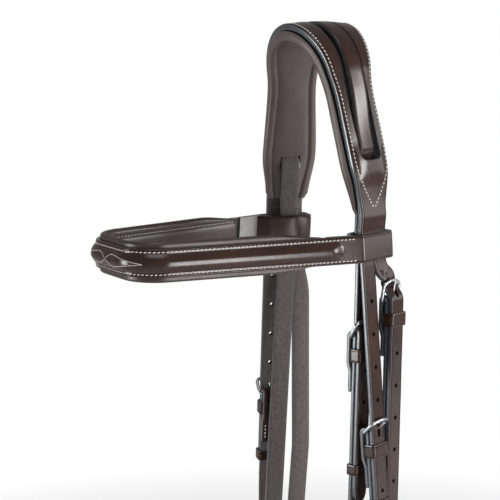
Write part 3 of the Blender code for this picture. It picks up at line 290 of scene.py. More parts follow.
HALF_WIDTH = STRAP_WIDTH / 2
FOLD_RADIUS = BAR_RADIUS + GAP
STRAP_OUT = FOLD_RADIUS + STRAP_THICK / 2
BILLET_OUT = FOLD_RADIUS + STRAP_THICK + GAP + BILLET_THICK / 2
ARM_BACK = HALF_WIDTH + ARM_PLAY + WIRE_RADIUS
TURN_BACK_OUT = FOLD_RADIUS - GAP - STRAP_THICK / 2
KEEPER_INSIDE = FOLD_RADIUS - GAP
KEEPER_OUTSIDE = BILLET_OUT + BILLET_THICK / 2 + GAP
TAB = BROW_REACH - TAB_RISE
SLOT = BROW_REACH - SLOT_RISE
OVER = PAD_THICK + CROWN_RISE + GAP + STRAP_THICK / 2
BENEATH = -GAP - STRAP_THICK / 2
NOSE_SEAT = CROWN_SEAT - CROWN_THICK / 2 - NOSE_CLEAR - STRAP_THICK / 2
CROWN_WIDTHS = ((0.0, CROWN_TOP_WIDTH), (WAIST_REACH, CROWN_WAIST_WIDTH))
CROWN_WIDTHS += ((SLOT, CROWN_LOW_WIDTH), (TAB, CROWN_STRAP_WIDTH))


def smooth(share):
    share = min(max(share, 0.0), 1.0)
    return share * share * (3 - 2 * share)


def blend(a, b, share):
    return a + (b - a) * share


def quarter(share, least=0.0):
    """Height of a quarter circle at a share of its width."""
    return math.sqrt(max(1 - (1 - min(share, 1.0)) ** 2, least))


def circle(count, start=0.5):
    """The cosine and sine of evenly spaced turns."""
    turns = [math.tau * (k + start) / count for k in range(count)]
    return [(math.cos(turn), math.sin(turn)) for turn in turns]


def both_halves(right):
    """An outline from its right half, which starts and ends on the middle line."""
    return right + [(-x, y) for x, y in reversed(right[1:-1])]


# Materials


def shader_nodes(name):
    """A new material with its node tree and principled shader."""
    made = bpy.data.materials.new(name)
    made.use_nodes = True
    tree = made.node_tree
    return made, tree, tree.nodes["Principled BSDF"]


def add_node(tree, kind, **values):
    node = tree.nodes.new(kind)
    for key, value in values.items():
        if key in node.inputs:
            node.inputs[key].default_value = value
        else:
            setattr(node, key, value)
    return node


def noise_node(tree, scale, detail, rough):
    return placed_node(tree, "ShaderNodeTexNoise", Scale=scale, Detail=detail, Roughness=rough)


def placed_node(tree, kind, **values):
    """A texture in the piece's own coordinates."""
    place = add_node(tree, "ShaderNodeTexCoord")
    made = add_node(tree, kind, **values)
    tree.links.new(place.outputs["Object"], made.inputs["Vector"])
    return made


def range_node(tree, source, low, high):
    made = add_node(tree, "ShaderNodeMapRange")
    made.inputs["To Min"].default_value = low
    made.inputs["To Max"].default_value = high
    tree.links.new(source, made.inputs["Value"])
    return made


def surface(name, stops, colour_scale, rough, rough_scale, layers, **sockets):
    """A procedural surface: mottled colour, uneven roughness and (kind, scale, strength, distance) bumps."""
    made, tree, shader = shader_nodes(name)
    ramp = add_node(tree, "ShaderNodeValToRGB")
    for element, (place, tone) in zip(ramp.color_ramp.elements, stops):
        element.position = place
        element.color = (*tone, 1.0)
    tree.links.new(noise_node(tree, colour_scale, 4.0, 0.6).outputs["Fac"], ramp.inputs["Fac"])
    tree.links.new(ramp.outputs["Color"], shader.inputs["Base Color"])
    spread = range_node(tree, noise_node(tree, rough_scale, 3.0, 0.6).outputs["Fac"], *rough)
    tree.links.new(spread.outputs["Result"], shader.inputs["Roughness"])
    under = None
    for kind, scale, strength, distance in layers:
        if kind == "cells":
            cells = placed_node(tree, "ShaderNodeTexVoronoi", feature="DISTANCE_TO_EDGE", Scale=scale)
            height = cells.outputs["Distance"]
        else:
            height = noise_node(tree, scale, 5.0, 0.65).outputs["Fac"]
        bump = add_node(tree, "ShaderNodeBump", Strength=strength, Distance=distance)
        tree.links.new(height, bump.inputs["Height"])
        if under:
            tree.links.new(under.outputs["Normal"], bump.inputs["Normal"])
        under = bump
    tree.links.new(under.outputs["Normal"], shader.inputs["Normal"])
    for socket, value in sockets.items():
        shader.inputs[socket.replace("_", " ")].default_value = value
    return made


def make_materials():
    brown = ((0.30, (0.024, 0.0112, 0.0076)), (0.70, (0.040, 0.0188, 0.0128)))
    grain = surface(
        "bridle_leather_grain", brown, 38.0, (0.13, 0.26), 90.0,
        (("cells", 1500.0, 0.16, 0.00012), ("noise", 320.0, 0.14, 0.0003)),
        Specular_IOR_Level=0.38, Coat_Weight=0.06, Coat_Roughness=0.14,
    )
    # Edge colour: the dark edge dye with a painted blue-grey reflection of the pale studio mixed into it.
    dark = ((0.30, (0.030, 0.034, 0.040)), (0.72, (0.066, 0.072, 0.080)))
    edge = surface(
        "bridle_leather_edge", dark, 240.0, (0.24, 0.38), 160.0,
        (("noise", 700.0, 0.25, 0.0002),),
        Specular_IOR_Level=0.9, Specular_Tint=(0.82, 0.93, 1.0, 1.0), Coat_Weight=0.7, Coat_Roughness=0.20,
    )
    rough = ((0.25, (0.050, 0.040, 0.038)), (0.75, (0.112, 0.095, 0.091)))
    flesh = surface(
        "bridle_leather_flesh", rough, 420.0, (0.46, 0.66), 300.0,
        (("noise", 1300.0, 0.55, 0.0003), ("noise", 260.0, 0.25, 0.0004)),
    )
    # Walls of punched holes: painted near black as the shade inside the holes, not the leather's own cut
    # colour.
    cut = ((0.30, (0.0030, 0.0022, 0.0020)), (0.70, (0.0070, 0.0050, 0.0045)))
    shaded_hole_wall = surface(
        "punched_hole_painted_shade", cut, 420.0, (0.75, 0.92), 300.0,
        (("noise", 1300.0, 0.4, 0.0002),), Specular_IOR_Level=0.12,
    )
    # Browband flesh: a lighter copy of the flesh finish; its extra lightness is painted sheen.
    flesh_tone_with_painted_sheen = ((0.25, (0.20, 0.19, 0.185)), (0.75, (0.34, 0.33, 0.325)))
    flesh_with_painted_sheen = surface(
        "browband_flesh_painted_sheen", flesh_tone_with_painted_sheen, 420.0, (0.34, 0.50), 300.0,
        (("noise", 1300.0, 0.55, 0.0003), ("noise", 260.0, 0.25, 0.0004)),
    )
    soft = ((0.30, (0.066, 0.049, 0.044)), (0.70, (0.100, 0.076, 0.069)))
    lining = surface(
        "soft_lining_leather", soft, 50.0, (0.34, 0.50), 80.0,
        (("cells", 900.0, 0.22, 0.0002), ("noise", 180.0, 0.22, 0.0005)),
        Sheen_Weight=0.12, Sheen_Roughness=0.4,
    )
    deep_soft = ((0.30, (0.030, 0.0185, 0.0150)), (0.70, (0.050, 0.0330, 0.0275)))
    pad = surface(
        "browband_pad_leather", deep_soft, 50.0, (0.28, 0.44), 80.0,
        (("cells", 900.0, 0.20, 0.0002), ("noise", 180.0, 0.22, 0.0005)),
    )
    pale = ((0.30, (0.60, 0.57, 0.52)), (0.70, (0.80, 0.78, 0.74)))
    thread = surface(
        "waxed_white_thread", pale, 500.0, (0.45, 0.65), 500.0,
        (("noise", 2600.0, 0.5, 0.0001),), Sheen_Weight=0.1, Sheen_Roughness=0.4,
    )
    deep = ((0.30, (0.030, 0.021, 0.018)), (0.70, (0.060, 0.045, 0.040)))
    dark_thread = surface(
        "waxed_brown_thread", deep, 500.0, (0.40, 0.60), 500.0, (("noise", 2600.0, 0.5, 0.0001),),
    )
    bare = ((0.30, (0.42, 0.43, 0.45)), (0.70, (0.52, 0.53, 0.55)))
    steel = surface(
        "stainless_steel_wire", bare, 120.0, (0.20, 0.32), 240.0,
        (("noise", 900.0, 0.05, 0.0001),), Metallic=1.0,
    )
    # Foam filling: painted near black so that it reads as the shade in the gap between lining and leather.
    foam_tone_painted_as_shade = ((0.30, (0.020, 0.017, 0.016)), (0.70, (0.034, 0.029, 0.027)))
    foam = surface("foam_painted_as_shade", foam_tone_painted_as_shade, 600.0, (0.85, 0.95), 300.0, (("cells", 1200.0, 0.6, 0.0004),))
    return {
        "leather": [grain, edge, flesh, shaded_hole_wall],
        "browband leather": [grain, edge, flesh_with_painted_sheen],
        "lining": [lining],
        "pad": [pad],
        "thread": [thread],
        "dark thread": [dark_thread],
        "steel": [steel],
        "foam": [foam],
    }


MATERIALS = make_materials()


# Mesh building


class Skin:
    """Points, faces and the finish of each face."""

    def __init__(self):
        self.points = []
        self.faces = []
        self.finishes = []

    def loft(self, rings, finishes=None, closed=False, cap=0):
        """Skin rings of equally many points; finishes gives one number for each side of a ring."""
        start = len(self.points)
        count = len(rings[0])
        for ring in rings:
            self.points += ring
        pairs = len(rings) if closed else len(rings) - 1
        for i in range(pairs):
            a = start + i * count
            b = start + (i + 1) % len(rings) * count
            for j in range(count):
                k = (j + 1) % count
                self.faces.append((a + j, a + k, b + k, b + j))
                self.finishes.append(finishes[j] if finishes else 0)
        if not closed:
            self.faces.append(tuple(range(start + count - 1, start - 1, -1)))
            last = start + (len(rings) - 1) * count
            self.faces.append(tuple(range(last, last + count)))
            self.finishes += [cap, cap]
        return self

    def mesh(self, name, kind):
        made = bpy.data.meshes.new(name)
        made.from_pydata([tuple(p) for p in self.points], [], self.faces)
        made.polygons.foreach_set("material_index", self.finishes)
        work = bmesh.new()
        work.from_mesh(made)
        bmesh.ops.recalc_face_normals(work, faces=work.faces)
        work.to_mesh(made)
        work.free()
        for finish in MATERIALS[kind]:
            made.materials.append(finish)
        return made


def new_object(name, data):
    made = bpy.data.objects.new(name, data)
    bpy.context.scene.collection.objects.link(made)
    return made


def carved(mesh, cutters):
    """The mesh with each cutter mesh taken out of it."""
    base = new_object("base", mesh)
    helpers = [base]
    for cutter in cutters:
        helper = new_object("cutter", cutter)
        helpers.append(helper)
        cut = base.modifiers.new("cut", "BOOLEAN")
        cut.operation = "DIFFERENCE"
        cut.solver = "EXACT"
        cut.object = helper
    bpy.context.view_layer.update()
    graph = bpy.context.evaluated_depsgraph_get()
    result = bpy.data.meshes.new_from_object(base.evaluated_get(graph))
    for helper in helpers:
        bpy.data.objects.remove(helper)
    return result


def show(name, skin, kind, body=None, replaces=(), cutters=(), angle=38.0):
    """The finished object of a piece; it stands for its CAD nodes and rides on its body."""
    mesh = skin.mesh(name, kind)
    if cutters:
        mesh = carved(mesh, cutters)
    mesh.name = name
    mesh.shade_smooth()
    mesh.set_sharp_from_angle(angle=math.radians(angle))
    made = new_object(name, mesh)
    if replaces:
        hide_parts(*replaces)
    if body:
        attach(made, body)
    return made


def block(place, low, high):
    rings = []
    for z in (low[2], high[2]):
        corners = ((low[0], low[1]), (high[0], low[1]), (high[0], high[1]), (low[0], high[1]))
        rings.append([place @ Vector((x, y, z)) for x, y in corners])
    return rings


def cutter_mesh(rings, wall=EDGE):
    """A cutter whose walls keep their own finish."""
    return Skin().loft(rings, [wall] * len(rings[0]), cap=wall).mesh("cutter", "leather")


# Routes


def rounded(corners, steps=ARC_STEPS):
    """A route of (point, radius) corners with each inner corner turned into an arc."""
    points = [corners[0][0].copy()]
    for i in range(1, len(corners) - 1):
        corner, radius = corners[i]
        before = (corners[i - 1][0] - corner).normalized()
        after = (corners[i + 1][0] - corner).normalized()
        turn = math.pi - before.angle(after)
        if turn < math.radians(0.5):
            points.append(corner.copy())
            continue
        reach = radius * math.tan(turn / 2)
        centre = corner + (before + after).normalized() * (radius / math.cos(turn / 2))
        arm = corner + before * reach - centre
        axis = arm.cross(corner + after * reach - centre).normalized()
        count = max(1, math.ceil(turn / (math.pi / 2) * steps))
        arc = [centre + Matrix.Rotation(turn * k / count, 3, axis) @ arm for k in range(count + 1)]
        points += [point for point in arc if (point - points[-1]).length > GAP]
    points.append(corners[-1][0].copy())
    return points


def dense(points, step=STEP):
    result = [points[0]]
    for a, b in zip(points, points[1:]):
        count = max(1, math.ceil((b - a).length / step))
        result += [a.lerp(b, k / count) for k in range(1, count + 1)]
    return result


def run_along(points):
    """Each point with the points before and after it and its run from the start."""
    run = 0.0
    for i, point in enumerate(points):
        before = points[max(i - 1, 0)]
        run += (point - before).length
        yield point, before, points[min(i + 1, len(points) - 1)], run


def marks_along(points, distances):
    """Where each distance falls on a route: the number of its piece and the share of it."""
    left = sorted(distances)
    run = 0.0
    for i, (a, b) in enumerate(zip(points, points[1:])):
        length = (b - a).length
        while left and left[0] <= run + length:
            yield i, (left.pop(0) - run) / length
        run += length


def with_points_at(points, distances):
    extra = {}
    for i, share in marks_along(points, distances):
        if 0.02 < share < 0.98:
            extra.setdefault(i, []).append(points[i].lerp(points[i + 1], share))
    result = []
    for i, point in enumerate(points):
        result += [point, *extra.get(i, [])]
    return result


def route_length(points):
    return sum((b - a).length for a, b in zip(points, points[1:]))


END_SHARES = {
    "point": ((0.0, 0.22), (0.12, 0.55), (0.4, 0.86), (1.0, 1.0)),
    "round": ((0.0, 0.25), (0.06, 0.50), (0.2, 0.76), (0.5, 0.95), (1.0, 1.0)),
    "square": ((0.0, 0.97), (0.1, 1.0), (1.0, 1.0)),
    "plain": ((0.0, 1.0), (1.0, 1.0)),
}
END_MARKS = (0.02, 0.05, 0.09, 0.14, 0.2, 0.28, 0.38, 0.5, 0.64, 0.8, 1.0)


def end_share(kind, share):
    table = END_SHARES[kind]
    for (s0, w0), (s1, w1) in zip(table, table[1:]):
        if share <= s1:
            return blend(w0, w1, (share - s0) / (s1 - s0))
    return 1.0


def soft_share(kind, share):
    """The end's width share, with its corners eased."""
    if share >= 1.1:
        return 1.0
    spots = (-0.05, -0.025, 0.0, 0.025, 0.05)
    return sum(end_share(kind, max(share + spot, 0.0)) for spot in spots) / len(spots)


# Cross-sections


def side_finishes(spots, grain_over, flesh_under):
    """The finish of each side of an outline, by its height."""
    finishes = []
    for (_, y0), (_, y1) in zip(spots, spots[1:] + spots[:1]):
        if max(y0, y1) < flesh_under:
            finishes.append(FLESH)
        else:
            finishes.append(GRAIN if min(y0, y1) > grain_over else EDGE)
    return finishes


def strap_section(half, thick, layered=False):
    """(across, out) spots round a strap and the finish of each side; grain is on the +out face."""
    t = thick / 2
    top = min(EDGE_ROUND, t * 0.8, half * 0.6)
    low = min(BACK_ROUND, t * 0.5, half * 0.4)
    right = [(0.0, -t), (half * 0.55, -t)]
    right += [(half - low, -t), (half - low * 0.3, -t + low * 0.3), (half, -t + low)]
    if layered:
        right += [(half, -t * 0.30), (half - 0.00035, -t * 0.16), (half, 0.0)]
    for k in range(4):
        angle = math.pi / 2 * k / 3
        right.append((half - top * (1 - math.cos(angle)), t - top * (1 - math.sin(angle))))
    inset = max(half - CREASE_IN, half * 0.35)
    deep = CREASE_DEPTH * smooth((half - CREASE_IN) / CREASE_IN)
    side = min(CREASE_HALF, half * 0.1)
    right += [(inset + side, t), (inset, t - deep), (inset - side, t)]
    right += [(half * 0.28, t + 0.00004), (0.0, t + 0.00006)]
    spots = both_halves(right)
    return spots, side_finishes(spots, t - top * 0.55, -t + low * 0.1)


def strap_skin(points, back_at, thick, face, ends=("square", "square"), width=STRAP_WIDTH):
    """A leather strap along a route, its grain on the face side; width may change from point to point."""
    points = dense(points)
    total = route_length(points)
    marks = [m * TIP_LENGTH for m in END_MARKS]
    rings = []
    for point, before, after, run in run_along(with_points_at(points, marks + [total - m for m in marks])):
        way = ((after - point).normalized() + (point - before).normalized()).normalized()
        hint = back_at(point)
        back = (hint - way * hint.dot(way)).normalized()
        out = back.cross(way) * face
        share = soft_share(ends[0], run / TIP_LENGTH) * soft_share(ends[1], (total - run) / TIP_LENGTH)
        here = width(point) if callable(width) else width
        thin = blend(0.75, 1.0, smooth(min(run, total - run) / 0.0012))
        spots, finishes = strap_section(here / 2 * share, thick * thin)
        wave = noise.noise(point * 55.0) * 0.00012
        rings.append([point + back * x + out * (y + wave * (1 if y > 0 else 0.3)) for x, y in spots])
    return Skin().loft(rings, finishes, cap=EDGE)


# Stitches


def stitch_skin(skin, spots, length, radius):
    """Short threads: (place, along, normal) for each, dipping into the leather at both ends."""
    for place, along, normal in spots:
        side = along.cross(normal).normalized()
        rings = []
        for s in (-1.0, -0.62, 0.0, 0.62, 1.0):
            centre = place + along * s * length / 2 + normal * radius * (0.62 - 1.25 * s * s)
            size = radius * (1 - 0.30 * s * s)
            rings.append([centre + (side * c + normal * d) * size for c, d in circle(6, 0)])
        skin.loft(rings)
    return skin


def stitch_row(points, normals, pitch=STITCH_PITCH, slant=STITCH_SLANT):
    """Evenly spaced stitches along a line on a surface; normals are given at its points."""
    total = route_length(points)
    count = int(total / pitch)
    start = (total - (count - 1) * pitch) / 2
    spots = []
    for i, share in marks_along(points, [start + pitch * k for k in range(count)]):
        normal = normals[i].lerp(normals[i + 1], share).normalized()
        way = (points[i + 1] - points[i]).normalized()
        way = (way - normal * way.dot(normal)).normalized()
        spots.append((points[i].lerp(points[i + 1], share), Matrix.Rotation(slant, 3, normal) @ way, normal))
    return spots


def show_threads(name, body, rows, kind="thread", radius=STITCH_RADIUS):
    """One object of stitches from (points, normals) rows."""
    threads = Skin()
    for points, normals in rows:
        stitch_skin(threads, stitch_row(points, normals), STITCH_LENGTH, radius)
    show(name, threads, kind, body, angle=80)


# Frames of reference


def arch_frame(reach):
    """Place and directions (down, out, back) on the crown's inner line, this far from the poll."""
    run = abs(reach)
    arc_turn = math.pi / 2 - CROWN_LEAN
    arc_end = POLL_RADIUS * arc_turn
    bend_turn = CROWN_LEAN - FALL_LEAN
    bend_end = BROW_REACH - BROW_HEIGHT / 2
    bend_start = bend_end - BEND_RADIUS * bend_turn
    turn = min(run / POLL_RADIUS, arc_turn)
    x = POLL_RADIUS * math.sin(turn)
    z = POLL_RADIUS * (math.cos(turn) - 1)
    straight = min(max(run - arc_end, 0), bend_start - arc_end)
    x += straight * math.cos(turn)
    z -= straight * math.sin(turn)
    if run > bend_start:
        more = min((run - bend_start) / BEND_RADIUS, bend_turn)
        x += BEND_RADIUS * (math.sin(turn + more) - math.sin(turn))
        z += BEND_RADIUS * (math.cos(turn + more) - math.cos(turn))
        turn += more
        rest = max(run - bend_end, 0)
        x += rest * math.cos(turn)
        z -= rest * math.sin(turn)
    share = min(run / FALL_REACH, 1)
    slope = FALL_BACK * 6 * share * (1 - share) / FALL_REACH
    down = Vector((math.cos(turn), slope, -math.sin(turn))).normalized()
    normal = Vector((math.sin(turn), 0, math.cos(turn)))
    square = normal.cross(down)
    toe = TOE * smooth(run / TOE_REACH)
    out = normal * math.cos(toe) + square * math.sin(toe)
    back = square * math.cos(toe) - normal * math.sin(toe)
    place = Vector((x, FALL_BACK * smooth(share), z))
    if reach < 0:
        place, down, out, back = (MIRROR.to_3x3() @ v for v in (place, down, out, back))
    return place, down, out, back


def frame_of(place, out, back, up):
    matrix = Matrix((out, back, up)).transposed().to_4x4()
    matrix.translation = place
    return matrix


def shifted(place, out=0.0, back=0.0, up=0.0):
    return place @ Matrix.Translation((out, back, up))


def side_frame(side, drop=0.0):
    place, down, out, back = arch_frame(side * (BROW_REACH + drop))
    return frame_of(place + out * CROWN_SEAT, out, back, -down)


def fork_frame(side):
    return side_frame(side, FORK_DROP + HINGE_GAP)


# Buckles and keepers


def wire_rings(points, sideways, radius_at, sides=14, closed=False):
    rings = []
    count = len(points)
    for i, point in enumerate(points):
        before = points[i - 1] if closed or i else point
        after = points[(i + 1) % count] if closed or i < count - 1 else point
        way = (after - before).normalized()
        side = (sideways - way * sideways.dot(way)).normalized()
        other = way.cross(side)
        rings.append([point + (side * c + other * s) * radius_at(i) for c, s in circle(sides)])
    return rings


def buckle_skin(place, tilt):
    """A bowed wire frame on a thinner bar."""
    lean = place @ Matrix.Rotation(tilt, 4, "Y")
    corner = BUCKLE_CORNER
    top = ARM_LENGTH
    across = ARM_BACK - corner
    spots = [(y * (ARM_BACK - corner / 2), 0.0) for y in (-1.0, -0.6, -0.2, 0.2, 0.6, 1.0)]
    for k in (1, 2, 3):
        turn = math.pi / 2 * k / 3
        spots.append((ARM_BACK - corner / 2 * (1 - math.sin(turn)), corner / 2 * (1 - math.cos(turn))))
    spots += [(ARM_BACK, corner + (top - 2 * corner) * s) for s in (0.0, 0.5, 1.0)]
    for k in range(1, 9):
        turn = math.pi / 2 * k / 9
        spots.append((ARM_BACK - corner * (1 - math.cos(turn)), top - corner * (1 - math.sin(turn))))
    spots += [(across * s, top + BUCKLE_BOW * (1 - s * s)) for s in (1.0, 0.8, 0.6, 0.4, 0.2, 0.0)]
    spots += [(-y, z) for y, z in reversed(spots[6:-1])]
    points = [lean @ Vector((0, y, z)) for y, z in spots]
    sideways = lean.to_3x3() @ Vector((1, 0, 0))

    def radius_at(i):
        return blend(BAR_RADIUS, WIRE_RADIUS, smooth(spots[i][1] / (corner / 2)))

    return Skin().loft(wire_rings(points, sideways, radius_at, closed=True), closed=True)


def tongue_line():
    """The tongue's wire: its eye round the bar, then the pin that rests on the frame."""
    eye = BAR_RADIUS + GAP + TONGUE_RADIUS
    turns = [math.radians(95 + 265 * k / 17) for k in range(18)]
    points = [Vector((eye * math.cos(turn), 0, eye * math.sin(turn))) for turn in turns]
    rest = WIRE_RADIUS + TONGUE_LIFT + TONGUE_RADIUS
    return points + [Vector((rest, 0, ARM_LENGTH)), Vector((rest, 0, ARM_LENGTH + TONGUE_OVERHANG))]


def tongue_skin(place, tilt):
    lean = place @ Matrix.Rotation(tilt, 4, "Y")
    line = tongue_line()
    rise = [line[-3].lerp(line[-2], s) for s in (0.2, 0.4, 0.6, 0.8)]
    tip = line[-1] - line[-2]
    points = line[:-2] + rise + [line[-2]]
    points += [line[-2] + tip * s for s in (0.35, 0.6, 0.8, 0.93, 1.0)]
    points = [lean @ point for point in points]
    sizes = [1.0] * (len(points) - 4) + [0.95, 0.8, 0.58, 0.25]
    sideways = lean.to_3x3() @ BACK
    return Skin().loft(wire_rings(points, sideways, lambda i: TONGUE_RADIUS * sizes[i], 12))


def top_bar_spot(tilt, bend=KNEE_RADIUS):
    under = WIRE_RADIUS + GAP + BILLET_THICK / 2
    top = Vector((ARM_LENGTH * math.sin(tilt), 0, ARM_LENGTH * math.cos(tilt)))
    slope = 0.0
    for _ in range(20):
        away = under + bend * (1 / math.cos(slope / 2) - 1)
        spot = top - Vector((math.cos(slope / 2), 0, math.sin(slope / 2))) * away
        slope = math.atan2(BILLET_OUT - spot.x, spot.z - KNEE)
    return spot.x, spot.z


def billet_skin(
    place, tilt, upper, tail, back, face, ends=("plain", "point"), bend=KNEE_RADIUS, steps=ARC_STEPS
):
    """A billet from its upper corners over the buckle's frame and down to its tip."""
    out, up = top_bar_spot(tilt, bend)
    lower = [(Vector((out, 0, up)), bend), (Vector((BILLET_OUT, 0, KNEE)), KNEE_RADIUS)]
    lower.append((Vector((BILLET_OUT, 0, -tail)), 0))
    points = [place @ point for point in rounded([*upper, *lower], steps)]
    return strap_skin(points, lambda p: back, BILLET_THICK, face, ends)


def punch_cutter(place, tilt):
    """The long hole that the tongue passes through."""
    out, up = top_bar_spot(tilt)
    a = Vector((out, 0, up))
    way = Vector((BILLET_OUT, 0, KNEE)) - a
    turn = Matrix.Rotation(tilt + SWING, 4, "Y")
    pin = tongue_line()
    start = turn @ pin[-3]
    pin_way = turn @ pin[-2] - start
    cross = pin_way.x * way.z - pin_way.z * way.x
    spot = start + pin_way * (((a.x - start.x) * way.z - (a.z - start.z) * way.x) / cross)
    if spot.z < KNEE:
        spot = start + pin_way * ((BILLET_OUT - start.x) / pin_way.x)
        way = Vector((0, 0, -1))
    home = place @ Matrix.Translation(spot) @ Matrix.Rotation(math.atan2(-way.x, -way.z), 4, "Y")
    half = PUNCH_HALF_WIDTH
    straight = PUNCH_HALF_LENGTH - half
    rings = []
    for depth in (-1.5 * BILLET_THICK, 1.5 * BILLET_THICK):
        ring = [(depth, half * c, half * s + math.copysign(straight, s)) for c, s in circle(16)]
        rings.append([home @ Vector(spot) for spot in ring])
    # The hole's walls take the finish painted near black as shade.
    return cutter_mesh(rings, SHADED_HOLE)


def fold_corners(down_to):
    turn = -STRAP_OUT
    return [
        (Vector((TURN_BACK_OUT, 0, -TURN_BACK)), 0),
        (Vector((TURN_BACK_OUT, 0, -TURN_CLOSE - STRAP_THICK)), KNEE_RADIUS),
        (Vector((turn, 0, -TURN_CLOSE + STRAP_THICK)), KNEE_RADIUS),
        (Vector((turn, 0, STRAP_OUT)), STRAP_OUT),
        (Vector((STRAP_OUT, 0, STRAP_OUT)), STRAP_OUT),
        (Vector((STRAP_OUT, 0, -down_to)), CHEEK_BEND_RADIUS),
    ]


def fold_cutter(place):
    eye = BAR_RADIUS + GAP + 2 * TONGUE_RADIUS + GAP
    deep = FOLD_RADIUS + STRAP_THICK + 0.004
    half = TONGUE_RADIUS + GAP
    return cutter_mesh(block(place, (-deep, -half, -eye), (deep, half, deep)))


def hole_cutters(place, out, ups):
    """Punched holes whose rims are pressed in a little; their walls take the finish painted near black as
    shade.
    """
    cutters = []
    for up in ups:
        rings = []
        for offset, wide in HOLE_STEPS:
            radius = HOLE_RADIUS * wide
            ring = [(out + offset * BILLET_THICK, radius * c, up + radius * s) for c, s in circle(20)]
            rings.append([place @ Vector(spot) for spot in ring])
        cutters.append(cutter_mesh(rings, SHADED_HOLE))
    return cutters


def keeper_skin(place, inside, outside, top, height):
    """A leather loop with rounded edges and a creased line near each edge."""
    t = KEEPER_THICK / 2
    half = HALF_WIDTH + GAP + t - KEEPER_CORNER
    low = inside - t + KEEPER_CORNER
    high = outside + t - KEEPER_CORNER
    line = []
    for out, back, corner in ((high, half, 0), (high, -half, 1), (low, -half, 2), (low, half, 3)):
        for k in range(7):
            turn = math.pi / 2 * (1 - corner - k / 6)
            way = Vector((math.cos(turn), math.sin(turn), 0))
            line.append((Vector((out, back, 0)) + way * KEEPER_CORNER, way))
    full = []
    for (point, way), (after, _) in zip(line, line[1:] + line[:1]):
        shares = (0.0, 0.25, 0.5, 0.75) if (after - point).length > 0.0012 else (0.0,)
        full += [(point.lerp(after, share), way) for share in shares]
    h = height / 2
    face = t - KEEPER_THIN
    outer = [(h, face - 0.0005), (h - 0.00015, face - 0.00015), (h - 0.0005, face), (h - 0.0011, face)]
    outer += [(h - 0.0014, face - 0.00026), (h - 0.0017, face), (0.0, face)]
    outer += [(-z, y) for z, y in reversed(outer[:-1])]
    loop = outer + [(-h, -t + 0.0003), (-h + 0.0003, -t), (h - 0.0003, -t), (h, -t + 0.0003)]
    rings = [[place @ (point + way * y + UP * (top - h + z)) for z, y in loop] for point, way in full]
    return Skin().loft(rings, side_finishes(loop, face - 0.0003, -t + 0.0001), closed=True)


def show_buckle_set(name, place, tilt, carrier, runner_drop):
    """A buckle, its tongue, the keeper under it and the runner on the tail."""
    skin = buckle_skin(place, tilt)
    show(f"{name}_buckle_wire", skin, "steel", f"{name}_buckle_frame", [f"{name}_buckle"], angle=60)
    skin = tongue_skin(place, tilt)
    show(f"{name}_tongue_wire", skin, "steel", f"{name}_tongue_pin", [f"{name}_buckle_tongue"], angle=60)
    skin = keeper_skin(place, KEEPER_INSIDE, KEEPER_OUTSIDE, -KEEPER_DROP, KEEPER_HEIGHT)
    show(f"{name}_keeper_loop", skin, "leather", carrier, [f"{name}_keeper"])
    skin = keeper_skin(place, KEEPER_INSIDE, KEEPER_OUTSIDE, -runner_drop, RUNNER_HEIGHT)
    show(f"{name}_runner_keeper", skin, "leather", f"{name}_runner_loop", [f"{name}_runner"])


# Crown


def crown_half_width(run):
    for (r0, w0), (r1, w1) in zip(CROWN_WIDTHS, CROWN_WIDTHS[1:]):
        if run <= r1:
            return blend(w0, w1, smooth((run - r0) / (r1 - r0))) / 2
    return CROWN_STRAP_WIDTH / 2


def pad_thick(run):
    return blend(PAD_THICK, PAD_END_THICK, smooth((run - TAB + PAD_TAPER) / PAD_TAPER))


def crown_rise(run, across):
    fade = 1 - smooth((run - SLOT + RISE_EARLY) / (TAB - SLOT))
    near_slot = max(1 - abs(run - SLOT - HUMP_SHIFT) / HUMP_REACH, 0.0)
    hump = HUMP_RISE * smooth(near_slot) * (1 - smooth((abs(across) - 0.40) / 0.55))
    return CROWN_RISE * fade * (1 - across * across) + hump


def crown_under(run, across):
    share = smooth((run - TAB) / (TAB_RISE - BROW_HEIGHT / 2))
    return blend(pad_thick(run) + GAP + crown_rise(run, across), CROWN_SEAT - CROWN_THICK / 2, share)


def crown_reaches(end):
    count = math.ceil(end / CROWN_STEP)
    return [end * k / count for k in range(-count, count + 1)]


def crown_rings(reaches, spots_at):
    """Rings across the crown; spots_at(run, place) gives their (back, out) spots."""
    rings = []
    for reach in reaches:
        place, _, out, back = arch_frame(reach)
        rings.append([place + back * x + out * y for x, y in spots_at(abs(reach), place)])
    return rings


def crown_spot(reach, across, lift):
    """A point this far across and over the leather's underside on the crown pad, and its normal."""
    place, _, out, back = arch_frame(reach)
    run = abs(reach)
    pad_half = crown_half_width(run) + PAD_MARGIN
    height = crown_under(run, across / pad_half) + lift
    slope = 0.0
    if abs(across) < pad_half:
        slope = (crown_rise(run, across / pad_half) - crown_rise(run, (across + 0.0005) / pad_half)) / 0.0005
    return place + back * across + out * height, (out + back * slope).normalized()


def headpiece_skin(end):
    sides = []

    def spots_at(run, _):
        half = crown_half_width(run)
        spots, finishes = strap_section(half, CROWN_THICK, layered=True)
        full = []
        sides.clear()
        for (x, y), (x1, y1), finish in zip(spots, spots[1:] + spots[:1], finishes):
            for share in (0.0, 0.33, 0.67) if abs(x1 - x) > half * 0.2 else (0.0,):
                across = blend(x, x1, share)
                under = crown_under(run, across / (half + PAD_MARGIN))
                full.append((across, under + CROWN_THICK / 2 + blend(y, y1, share)))
                sides.append(finish)
        return full

    rings = crown_rings(crown_reaches(end), spots_at)
    return Skin().loft(rings, sides, cap=EDGE)


